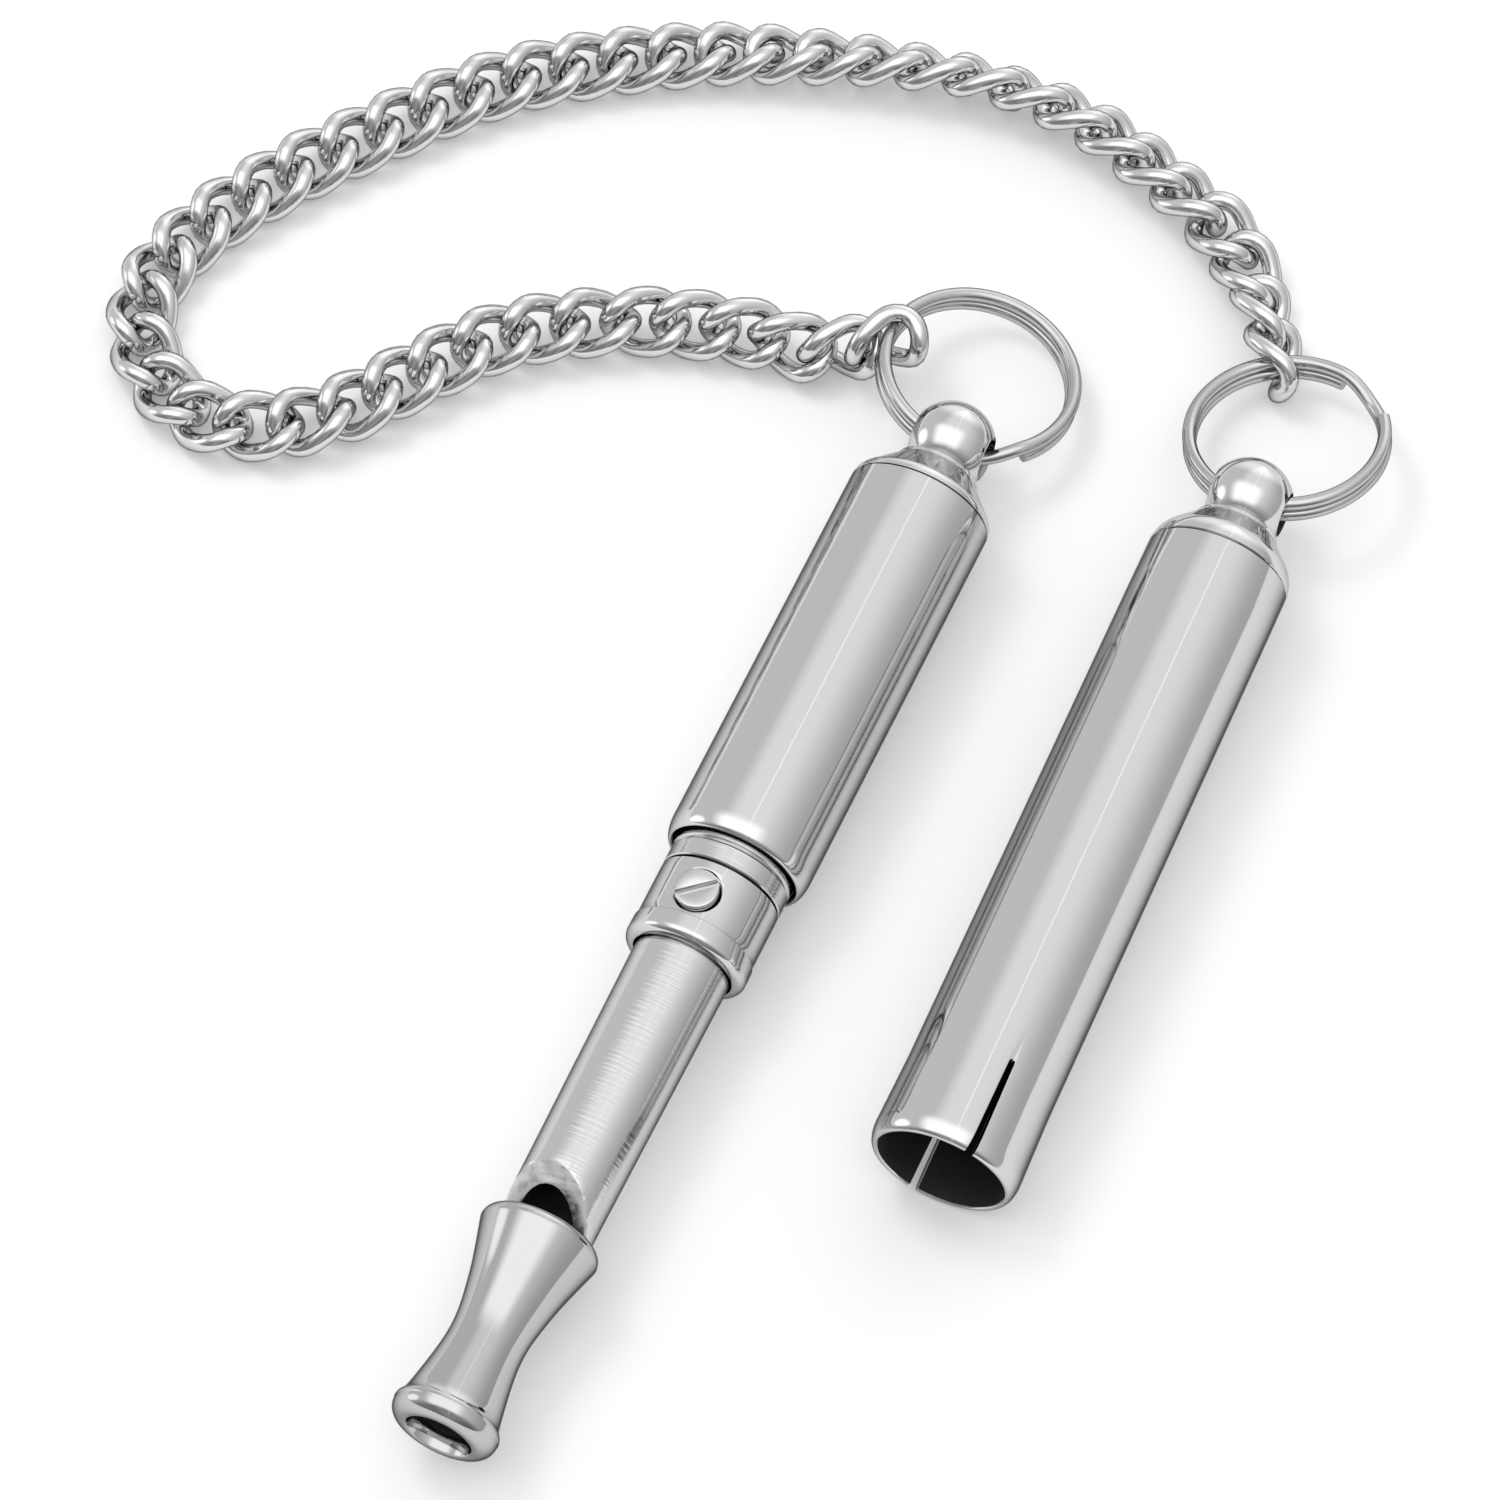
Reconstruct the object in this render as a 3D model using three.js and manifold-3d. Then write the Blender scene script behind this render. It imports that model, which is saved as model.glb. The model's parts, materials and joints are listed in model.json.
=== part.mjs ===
// An adjustable dog whistle lying on a table, with its push-on cap taken off beside it.
// A twisted curb chain joins the two, with a split ring through the ball at each end.
// Millimetres and degrees, +Z up. The cap points along +Y, and the table is at z = 0.
import * as THREE from 'three';
import { mergeVertices } from 'three/addons/utils/BufferGeometryUtils.js';
import Module from 'manifold-3d';

// Shared fits and facets
const FACETS = 24;
const ROUND_STEPS = 4;
const FIT = 0.15;
const CUT_MARGIN = 1;
const WELD = 0.0001;

// Barrel, the outer tube that turns to set the pitch
const BARREL_RADIUS = 4.75;
const BARREL_WALL = 0.55;
const BARREL_LENGTH = 27.78;
const LIP_ROUND = 0.45;
const LIP_LENGTH = 1.3;

// Finials, the domed ends with a drilled ball
const BARREL_DOME_ROUND = 1;
const CAP_DOME_ROUND = 2.1;
const DOME_SLOPE = 42;
const FLANGE_RADIUS = 2.75;
const FLANGE_HEIGHT = 0.3;
const FLANGE_TO_BALL = 2.15;
const BALL_RADIUS = 2.83;
const BALL_HOLE_RADIUS = 1.45;
const SPIGOT_LENGTH = 4;

// Neck bush and lock collar, between the barrel and the whistle tube
const NECK_GAP = 0.25;
const NECK_WALL = 0.6;
const NECK_SHOW = 1.85;
const NECK_INSET = 1.2;
const NECK_SEAT_LENGTH = 5;
const GROOVE_DEPTH = 0.22;
const GROOVE_WIDTH = 0.35;
const GROOVE_SETBACK = 0.3;
const COLLAR_LENGTH = 5.5;
const COLLAR_BEAD = 0.1;
const COLLAR_BEAD_LENGTH = 1.5;
const COLLAR_EDGE_SWEEP = 60;

// Lock screw, a slotted cheese head in a shallow recess of the collar
const SCREW_TURN = 7;
const SCREW_AT = 4.2;
const SCREW_HEAD_RADIUS = 1.4;
const SCREW_HEAD_HEIGHT = 0.5;
const SCREW_SHANK_RADIUS = 0.6;
const SCREW_RECESS = 0.35;
const SLOT_WIDTH = 0.47;
const SLOT_DEPTH = 0.3;
const SLOT_TURN = 37;

// Whistle tube, tapering slightly towards the sound window
const TUBE_TAPER = 0.2;
const TUBE_SHOW = 19.65;
const TUBE_TAIL = 8;
const TUBE_BORE_RATIO = 0.64;
const TENON_WALL = 0.5;
const TENON_LENGTH = 3.4;
const WINDOW_TURN = 18;
const WINDOW_LENGTH = 3.15;
const WINDOW_FLOOR = 0.2;

// Mouthpiece, an hourglass with a countersunk bore, and the plug behind it
const MOUTH_LENGTH = 14.8;
const MOUTH_BORE = 1.6;
const MOUTH_SINK_RADIUS = 2.15;
const MOUTH_SINK_DEPTH = 0.7;
const MOUTH_LIP_RADIUS = 3.45;
const MOUTH_LIP_ROUND = 0.5;
const MOUTH_LIP_LENGTH = 1.3;
const MOUTH_THROAT_RADIUS = 3.02;
const MOUTH_THROAT_AT = 2.4;
const MOUTH_WAIST_RADIUS = 2.42;
const MOUTH_WAIST_AT = 6.6;
const MOUTH_FLARE_RADIUS = 2.88;
const MOUTH_FLARE_AT = 10.2;
const MOUTH_BULGE_RADIUS = 3.9;
const MOUTH_BULGE_ROUND = 0.8;
const MOUTH_CURVE_STEPS = 11;
const PLUG_LENGTH = 3.1;
const WINDWAY_HEIGHT = 0.5;

// Plunger, the rod and piston that set the length of the sounding cavity
const PISTON_SETBACK = 8.2;
const PISTON_LENGTH = 2.5;
const SEAL_LENGTH = 0.7;
const PLUNGER_SHOULDER = 1;
const ROD_RATIO = 0.6;
const ROD_SEAT = 3;

// Cap
const CAP_STEP = 0.05;
const CAP_LENGTH = 45.05;
const CAP_WALL = 0.65;
const CAP_FLARE = 0.12;
const CAP_FLARE_LENGTH = 6;
const CAP_RIM_ROUND = 0.45;
const CAP_RIM_LENGTH = 1.2;
const SLIT_MOUTH_WIDTH = 0.6;
const SLIT_END_WIDTH = 0.4;
const SLIT_LENGTH = 6.7;
const SLIT_TURN = 24;

// Split rings
const RING_RADIUS = 6.2;
const RING_SEAT = 0.2;
const RING_WIRE = 0.8;
const RING_TURN_GAP = 0.12;
const RING_STEP_TURN = 30;
const RING_END_GAP = 14;
const RING_STEPS = 34;
const WHISTLE_RING = { pitch: -11, roll: 8, yaw: 5.5, ends: 287, link: 175 };
const CAP_RING = { pitch: -11, roll: -9, yaw: -3, ends: 78, link: 117 };

// Curb chain
const LINK_COUNT = 46;
const LINK_WIRE = 1.2;
const LINK_PITCH_RATIO = 2.712;
const LINK_WIDTH_RATIO = 3.856;
const LINK_PLAY_RATIO = 0.297;
const LINK_TWIST = -110;
const LINK_BEND_STEPS = 5;
const LINK_ON_RING = 0.5;
const WIRE_SIDES = 6;
const CHAIN_CLEAR = 0.1;

// Where the balls of the whistle and the cap lie
const WHISTLE_BALL_AT = [4.12, 22.78];
const WHISTLE_YAW = -1.53;
const CAP_BALL_AT = [22.96, 26.32];

// Route of the chain as it lies: x, y and the roll of the links about the chain
const ROUTE = [
  [-5.6, 27.3, -69], [-10.8, 26.7, -50], [-16.4, 25.2, -38], [-21.6, 22.7, -43], [-26.4, 19.4, -48],
  [-30.3, 14.7, -44], [-33.5, 10.65, -33], [-36.5, 8.45, -22], [-40.15, 7.8, -11], [-43.7, 8.95, -3],
  [-46.4, 11.55, 3], [-47.55, 15.1, 6], [-47.0, 18.8, 8], [-43.9, 24.8, 12], [-38.9, 31.4, 13],
  [-34.0, 37.0, 12], [-28.3, 41.4, 6], [-22.4, 44.8, -5], [-16.5, 47.2, -24], [-10.4, 49.0, -46],
  [-4.0, 49.9, -57], [2.2, 49.4, -52], [8.4, 47.5, -40], [13.6, 45.2, -39], [17.5, 42.0, -53],
];
const ROUTE_START_ROLL = -85;
const ROUTE_END_ROLL = -68;
const ROUTE_SAMPLES = 3000;
const SLACK_LOW = 0.5;
const SLACK_HIGH = 1.6;

// Places along each axis that follow from the sizes
const BARREL_BORE = BARREL_RADIUS - BARREL_WALL;
const NECK_RADIUS = BARREL_BORE - NECK_GAP;
const TUBE_RADIUS = NECK_RADIUS - NECK_WALL - FIT;
const TUBE_FRONT_RADIUS = TUBE_RADIUS - TUBE_TAPER;
const TUBE_BORE = TUBE_BORE_RATIO * TUBE_RADIUS;
const TENON_RADIUS = TUBE_BORE + TENON_WALL;
const CAP_RADIUS = BARREL_RADIUS - CAP_STEP;
const CAP_BORE = CAP_RADIUS - CAP_WALL;
const CAP_HEIGHT = CAP_RADIUS + CAP_FLARE;
const COLLAR_BORE = TUBE_RADIUS + FIT;
const COLLAR_REAR = -NECK_SHOW - FIT;
const COLLAR_FRONT = COLLAR_REAR - COLLAR_LENGTH;
const TUBE_FRONT = COLLAR_FRONT - TUBE_SHOW;
const TENON_FRONT = TUBE_FRONT - TENON_LENGTH;
const MOUTH_REAR = TUBE_FRONT - FIT;
const MOUTH_TIP = MOUTH_REAR - MOUTH_LENGTH;
const PISTON_FACE = TUBE_FRONT + PISTON_SETBACK;
const PISTON_REAR = PISTON_FACE + PISTON_LENGTH;
const SEAL_REAR = PISTON_REAR + SEAL_LENGTH + 2 * FIT;
const PISTON_RADIUS = TUBE_BORE - FIT;
const ROD_RADIUS = ROD_RATIO * PISTON_RADIUS;
const RING_LIFT = RING_WIRE + RING_TURN_GAP;
const LINK_PITCH = LINK_PITCH_RATIO * LINK_WIRE;
const LINK_PLAY = LINK_PLAY_RATIO * LINK_WIRE;
const LINK_WIDTH = LINK_WIDTH_RATIO * LINK_WIRE;
const LINK_REACH = (LINK_PITCH + LINK_PLAY + LINK_WIRE) / 2;
const LINK_BEND = (LINK_WIDTH - LINK_WIRE) / 2;
const LINK_STRAIGHT = LINK_REACH - LINK_BEND;

const NICKEL = { color: 0xc6c8ca, metalness: 1, roughness: 0.14 };
const BARE_BRASS = { color: 0xb08d4a, metalness: 1, roughness: 0.35 };
const FIBRE = { color: 0x5b3f2a, metalness: 0, roughness: 0.8 };

const radians = THREE.MathUtils.degToRad;
const wasm = await Module();
wasm.setup();

// A closed surface as a solid that can be cut
function solidOf(geometry) {
  const plain = geometry.clone();
  plain.deleteAttribute('normal');
  plain.deleteAttribute('uv');
  const welded = mergeVertices(plain, WELD);
  const corners = welded.index.array;
  const kept = [];
  for (let i = 0; i < corners.length; i += 3) {
    const [a, b, c] = [corners[i], corners[i + 1], corners[i + 2]];
    if (a !== b && b !== c && c !== a) {
      kept.push(a, b, c);
    }
  }
  const mesh = new wasm.Mesh({
    numProp: 3,
    vertProperties: new Float32Array(welded.attributes.position.array),
    triVerts: new Uint32Array(kept),
  });
  return new wasm.Manifold(mesh);
}

function surfaceOf(solid) {
  const mesh = solid.getMesh();
  const geometry = new THREE.BufferGeometry();
  geometry.setAttribute('position', new THREE.BufferAttribute(mesh.vertProperties, 3));
  geometry.setIndex(new THREE.BufferAttribute(mesh.triVerts, 1));
  geometry.computeVertexNormals();
  return geometry;
}

function cut(body, ...tools) {
  let solid = solidOf(body);
  for (const tool of tools) {
    solid = solid.subtract(solidOf(tool));
  }
  return surfaceOf(solid);
}

// A turned piece: radius and height pairs revolved about Y
function turned(profile) {
  const outline = profile.map(([radius, height]) => new THREE.Vector2(radius, height));
  return new THREE.LatheGeometry(outline, FACETS);
}

// A turned piece with a bore, whose outline closes on itself
function turnedHollow(profile) {
  return turned([...profile, profile[0]]);
}

// A rounded stretch of an outline, about a centre, between two angles
function round(centre, reach, from, to) {
  const points = [];
  for (let i = 0; i <= ROUND_STEPS; i += 1) {
    const angle = radians(from + ((to - from) * i) / ROUND_STEPS);
    const radius = Math.max(centre[0] + reach[0] * Math.cos(angle), 0);
    points.push([radius, centre[1] + reach[1] * Math.sin(angle)]);
  }
  return points;
}

function piece(name, geometry, finish) {
  const mesh = new THREE.Mesh(geometry, new THREE.MeshStandardMaterial(finish));
  mesh.name = name;
  return mesh;
}

function barrel() {
  return turnedHollow([
    [BARREL_BORE, BARREL_LENGTH],
    [BARREL_BORE, 0],
    ...round([BARREL_RADIUS - LIP_ROUND, LIP_LENGTH], [LIP_ROUND, LIP_LENGTH], -90, 0),
    [BARREL_RADIUS, BARREL_LENGTH],
  ]);
}

// Height of the flange: a rounded shoulder runs into a cone that ends at the flange
function finialFlangeAt(outer, shoulder) {
  const slope = radians(DOME_SLOPE);
  const coneStart = outer - shoulder * (1 - Math.cos(slope));
  return shoulder * Math.sin(slope) + (coneStart - FLANGE_RADIUS) / Math.tan(slope);
}

function finialBallAt(outer, shoulder) {
  return finialFlangeAt(outer, shoulder) + FLANGE_HEIGHT + FLANGE_TO_BALL;
}

// Dome, flange and ball in one, on a spigot that plugs the tube
function finial(outer, shoulder, bore, foot) {
  const spigot = bore - FIT;
  const ballAt = finialBallAt(outer, shoulder);
  const ballStart = THREE.MathUtils.radToDeg(Math.asin(FLANGE_TO_BALL / BALL_RADIUS));
  const body = turned([
    ...foot,
    [spigot, -SPIGOT_LENGTH],
    [spigot, 0],
    ...round([outer - shoulder, 0], [shoulder, shoulder], 0, DOME_SLOPE),
    [FLANGE_RADIUS, finialFlangeAt(outer, shoulder)],
    [FLANGE_RADIUS, ballAt - FLANGE_TO_BALL],
    ...round([0, ballAt], [BALL_RADIUS, BALL_RADIUS], -ballStart, 90),
  ]);
  const hole = new THREE.CylinderGeometry(
    BALL_HOLE_RADIUS, BALL_HOLE_RADIUS, 2 * (BALL_RADIUS + CUT_MARGIN), FACETS,
  );
  hole.rotateZ(Math.PI / 2);
  hole.translate(0, ballAt, 0);
  return cut(body, hole);
}

function barrelFinial() {
  const socket = ROD_RADIUS + FIT;
  const socketEnd = ROD_SEAT - SPIGOT_LENGTH;
  return finial(BARREL_RADIUS, BARREL_DOME_ROUND, BARREL_BORE, [
    [0, socketEnd],
    [socket, socketEnd],
    [socket, -SPIGOT_LENGTH],
  ]);
}

function capFinial() {
  return finial(CAP_RADIUS, CAP_DOME_ROUND, CAP_BORE, [[0, -SPIGOT_LENGTH]]);
}

function neckBush() {
  const seatEnd = NECK_INSET + NECK_SEAT_LENGTH;
  return turnedHollow([
    [COLLAR_BORE, seatEnd],
    [COLLAR_BORE, -NECK_SHOW],
    [NECK_RADIUS, -NECK_SHOW],
    [NECK_RADIUS, -GROOVE_SETBACK - GROOVE_WIDTH],
    [NECK_RADIUS - GROOVE_DEPTH, -GROOVE_SETBACK - GROOVE_WIDTH / 2],
    [NECK_RADIUS, -GROOVE_SETBACK],
    [NECK_RADIUS, NECK_INSET],
    [BARREL_BORE - FIT, NECK_INSET],
    [BARREL_BORE - FIT, seatEnd],
  ]);
}

function lockCollar() {
  const bead = NECK_RADIUS + COLLAR_BEAD;
  const beadEnd = COLLAR_FRONT + COLLAR_BEAD_LENGTH;
  const edge = NECK_RADIUS - COLLAR_BORE;
  const body = turnedHollow([
    [COLLAR_BORE, COLLAR_REAR],
    [COLLAR_BORE, COLLAR_FRONT],
    ...round([COLLAR_BORE, COLLAR_FRONT + edge], [bead - COLLAR_BORE, edge], -COLLAR_EDGE_SWEEP, 0),
    [bead, beadEnd],
    [NECK_RADIUS, beadEnd + COLLAR_BEAD],
    [NECK_RADIUS, COLLAR_REAR],
  ]);
  return cut(
    body,
    screwHole(SCREW_HEAD_RADIUS + FIT, NECK_RADIUS - SCREW_RECESS, NECK_RADIUS + CUT_MARGIN),
    screwHole(SCREW_SHANK_RADIUS + FIT, 0, NECK_RADIUS),
  );
}

// A round hole on the screw's axis, between two heights above the tube's axis
function screwHole(radius, from, to) {
  const hole = new THREE.CylinderGeometry(radius, radius, to - from, FACETS);
  hole.rotateX(Math.PI / 2);
  hole.translate(0, -SCREW_AT, (from + to) / 2);
  hole.rotateY(radians(-SCREW_TURN));
  return hole;
}

// The screw stands on the table of its head, with the head's top slotted
function lockScrew() {
  const shank = NECK_RADIUS - SCREW_RECESS - TUBE_RADIUS;
  const chamfer = SLOT_DEPTH / 2;
  const body = turned([
    [0, -shank],
    [SCREW_SHANK_RADIUS, -shank],
    [SCREW_SHANK_RADIUS, 0],
    [SCREW_HEAD_RADIUS, 0],
    [SCREW_HEAD_RADIUS, SCREW_HEAD_HEIGHT - chamfer],
    [SCREW_HEAD_RADIUS - chamfer, SCREW_HEAD_HEIGHT],
    [0, SCREW_HEAD_HEIGHT],
  ]);
  const slot = new THREE.BoxGeometry(2 * (SCREW_HEAD_RADIUS + CUT_MARGIN), 2 * SLOT_DEPTH, SLOT_WIDTH);
  slot.translate(0, SCREW_HEAD_HEIGHT, 0);
  slot.rotateY(radians(SLOT_TURN));
  return cut(body, slot);
}

function whistleTube() {
  const body = turnedHollow([
    [TUBE_BORE, TUBE_TAIL],
    [TUBE_BORE, TENON_FRONT],
    [TENON_RADIUS, TENON_FRONT],
    [TENON_RADIUS, TUBE_FRONT],
    [TUBE_FRONT_RADIUS, TUBE_FRONT],
    [TUBE_RADIUS, COLLAR_FRONT],
    [TUBE_RADIUS, TUBE_TAIL],
  ]);
  const top = TUBE_RADIUS + CUT_MARGIN;
  const ramp = WINDOW_LENGTH / (TUBE_FRONT_RADIUS - WINDOW_FLOOR);
  const side = new THREE.Shape([
    new THREE.Vector2(WINDOW_FLOOR, MOUTH_REAR),
    new THREE.Vector2(top, MOUTH_REAR),
    new THREE.Vector2(top, TUBE_FRONT + ramp * (top - WINDOW_FLOOR)),
    new THREE.Vector2(WINDOW_FLOOR, TUBE_FRONT),
  ]);
  const wedge = new THREE.ExtrudeGeometry(side, { depth: 2 * top, bevelEnabled: false });
  wedge.translate(0, 0, -top);
  wedge.rotateY(-Math.PI / 2 - radians(WINDOW_TURN));
  return cut(body, wedge);
}

function mouthpiece() {
  const socket = TENON_RADIUS + FIT;
  const socketEnd = TENON_FRONT - FIT;
  const bulgeFlat = MOUTH_BULGE_RADIUS - MOUTH_BULGE_ROUND;
  const outside = new THREE.SplineCurve([
    new THREE.Vector2(MOUTH_LIP_RADIUS, MOUTH_TIP + MOUTH_LIP_ROUND),
    new THREE.Vector2(MOUTH_LIP_RADIUS, MOUTH_TIP + MOUTH_LIP_LENGTH),
    new THREE.Vector2(MOUTH_THROAT_RADIUS, MOUTH_TIP + MOUTH_THROAT_AT),
    new THREE.Vector2(MOUTH_WAIST_RADIUS, MOUTH_TIP + MOUTH_WAIST_AT),
    new THREE.Vector2(MOUTH_FLARE_RADIUS, MOUTH_TIP + MOUTH_FLARE_AT),
    new THREE.Vector2(MOUTH_BULGE_RADIUS, MOUTH_REAR - MOUTH_BULGE_ROUND),
  ]);
  const curve = outside.getPoints(MOUTH_CURVE_STEPS).map((p) => [p.x, p.y]);
  const lipFlat = MOUTH_LIP_RADIUS - MOUTH_LIP_ROUND;
  return turnedHollow([
    [socket, MOUTH_REAR],
    [socket, socketEnd],
    [MOUTH_BORE, socketEnd],
    [MOUTH_BORE, MOUTH_TIP + MOUTH_SINK_DEPTH],
    [MOUTH_SINK_RADIUS, MOUTH_TIP],
    ...round([lipFlat, MOUTH_TIP + MOUTH_LIP_ROUND], [MOUTH_LIP_ROUND, MOUTH_LIP_ROUND], -90, 0),
    ...curve.slice(1),
    ...round([bulgeFlat, MOUTH_REAR - MOUTH_BULGE_ROUND], [MOUTH_BULGE_ROUND, MOUTH_BULGE_ROUND], 0, 90).slice(1),
  ]);
}

// Round plug with one flat, which leaves the windway under the tube's wall
function fipplePlug() {
  const radius = PISTON_RADIUS;
  const flat = Math.asin((radius - WINDWAY_HEIGHT) / radius);
  const end = new THREE.Shape();
  end.absarc(0, 0, radius, -flat, Math.PI + flat, false);
  const plug = new THREE.ExtrudeGeometry(end, { depth: PLUG_LENGTH, bevelEnabled: false });
  plug.rotateX(-Math.PI / 2);
  plug.translate(0, MOUTH_REAR - PLUG_LENGTH, 0);
  plug.rotateY(radians(-WINDOW_TURN));
  return plug;
}

function plunger() {
  const groove = ROD_RADIUS;
  const rodEnd = BARREL_LENGTH + FIT - SPIGOT_LENGTH + ROD_SEAT - FIT;
  return turned([
    [0, PISTON_FACE],
    [PISTON_RADIUS, PISTON_FACE],
    [PISTON_RADIUS, PISTON_REAR],
    [groove, PISTON_REAR],
    [groove, SEAL_REAR],
    [PISTON_RADIUS, SEAL_REAR],
    [PISTON_RADIUS, SEAL_REAR + PLUNGER_SHOULDER],
    [ROD_RADIUS, SEAL_REAR + PLUNGER_SHOULDER],
    [ROD_RADIUS, rodEnd],
    [0, rodEnd],
  ]);
}

function plungerSeal() {
  const inside = ROD_RADIUS + FIT;
  return turnedHollow([
    [inside, SEAL_REAR - FIT],
    [inside, PISTON_REAR + FIT],
    [PISTON_RADIUS, PISTON_REAR + FIT],
    [PISTON_RADIUS, SEAL_REAR - FIT],
  ]);
}

function capTube() {
  const mouth = CAP_RADIUS + CAP_FLARE;
  const body = turnedHollow([
    [CAP_BORE, CAP_LENGTH],
    [CAP_BORE, CAP_FLARE_LENGTH],
    [CAP_BORE + CAP_FLARE, 0],
    ...round([mouth - CAP_RIM_ROUND, CAP_RIM_LENGTH], [CAP_RIM_ROUND, CAP_RIM_LENGTH], -90, 0),
    [CAP_RADIUS, CAP_FLARE_LENGTH],
    [CAP_RADIUS, CAP_LENGTH],
  ]);
  const reach = mouth + CUT_MARGIN;
  const side = new THREE.Shape([
    new THREE.Vector2(-SLIT_MOUTH_WIDTH / 2, -CUT_MARGIN),
    new THREE.Vector2(SLIT_MOUTH_WIDTH / 2, -CUT_MARGIN),
    new THREE.Vector2(SLIT_END_WIDTH / 2, SLIT_LENGTH),
    new THREE.Vector2(-SLIT_END_WIDTH / 2, SLIT_LENGTH),
  ]);
  const slits = new THREE.ExtrudeGeometry(side, { depth: 2 * reach, bevelEnabled: false });
  slits.translate(0, 0, -reach);
  slits.rotateY(radians(SLIT_TURN));
  return cut(body, slits);
}

// A wire of round section along a list of places, each with its outward side and direction
function wire(places, thickness, closed) {
  const positions = [];
  const corners = [];
  for (const { at, out, along } of places) {
    const side = along.clone().cross(out).normalize();
    const lift = side.clone().cross(along).normalize();
    for (let k = 0; k < WIRE_SIDES; k += 1) {
      const angle = (2 * Math.PI * k) / WIRE_SIDES;
      const point = at.clone();
      point.addScaledVector(lift, (thickness / 2) * Math.cos(angle));
      point.addScaledVector(side, (thickness / 2) * Math.sin(angle));
      positions.push(point.x, point.y, point.z);
    }
  }
  const spans = closed ? places.length : places.length - 1;
  for (let i = 0; i < spans; i += 1) {
    const here = i * WIRE_SIDES;
    const next = ((i + 1) % places.length) * WIRE_SIDES;
    for (let k = 0; k < WIRE_SIDES; k += 1) {
      const turn = (k + 1) % WIRE_SIDES;
      corners.push(here + k, here + turn, next + k);
      corners.push(here + turn, next + turn, next + k);
    }
  }
  if (!closed) {
    const last = (places.length - 1) * WIRE_SIDES;
    for (let k = 1; k < WIRE_SIDES - 1; k += 1) {
      corners.push(0, k + 1, k);
      corners.push(last, last + k, last + k + 1);
    }
  }
  const geometry = new THREE.BufferGeometry();
  geometry.setAttribute('position', new THREE.Float32BufferAttribute(positions, 3));
  geometry.setIndex(corners);
  geometry.computeVertexNormals();
  return geometry;
}

// Two turns of wire: the lower turn steps up near its end and runs on as the upper turn
function splitRing(ends) {
  const total = 2 * 360 - RING_STEP_TURN - RING_END_GAP;
  const point = (turn) => {
    const angle = radians(ends + turn);
    const rise = THREE.MathUtils.smoothstep(turn, 360 - RING_STEP_TURN, 360);
    const level = (rise - 0.5) * RING_LIFT;
    return new THREE.Vector3(RING_RADIUS * Math.cos(angle), RING_RADIUS * Math.sin(angle), level);
  };
  const places = [];
  for (let i = 0; i <= RING_STEPS; i += 1) {
    const turn = (total * i) / RING_STEPS;
    const angle = radians(ends + turn);
    places.push({
      at: point(turn),
      out: new THREE.Vector3(Math.cos(angle), Math.sin(angle), 0),
      along: point(turn + 1).sub(point(turn - 1)).normalize(),
    });
  }
  return wire(places, RING_WIRE, false);
}

// Flat outline of a link's wire: two straights joined by half rounds
function linkOutline() {
  const outline = [];
  for (const end of [1, -1]) {
    for (let i = 0; i <= LINK_BEND_STEPS; i += 1) {
      const angle = Math.PI * (i / LINK_BEND_STEPS - 0.5);
      const out = [end * Math.cos(angle), end * Math.sin(angle)];
      outline.push({ x: end * LINK_STRAIGHT + LINK_BEND * out[0], y: LINK_BEND * out[1], out });
    }
    outline.push({ x: 0, y: end * LINK_BEND, out: [0, end] });
  }
  return outline;
}

// The outline wound about the chain's own direction, so that links hook through each other flat
function twisted(x, y) {
  const turn = radians((LINK_TWIST * x) / (2 * LINK_REACH));
  return new THREE.Vector3(x, y * Math.cos(turn), y * Math.sin(turn));
}

function linkPlaces() {
  const outline = linkOutline();
  return outline.map(({ x, y, out }, i) => {
    const before = outline[(i + outline.length - 1) % outline.length];
    const after = outline[(i + 1) % outline.length];
    const along = twisted(after.x, after.y).sub(twisted(before.x, before.y));
    const turn = radians((LINK_TWIST * x) / (2 * LINK_REACH));
    const outward = new THREE.Vector3(out[0], out[1] * Math.cos(turn), out[1] * Math.sin(turn));
    return { at: twisted(x, y), out: outward, along: along.normalize() };
  });
}

// Height of a link's middle above the table when it lies rolled about the chain
function restHeight(roll) {
  const tilt = radians(roll);
  const heights = linkPlaces().map(({ at }) => Math.abs(at.y * Math.sin(tilt) + at.z * Math.cos(tilt)));
  return Math.max(...heights) + LINK_WIRE / 2 + CHAIN_CLEAR;
}

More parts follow.
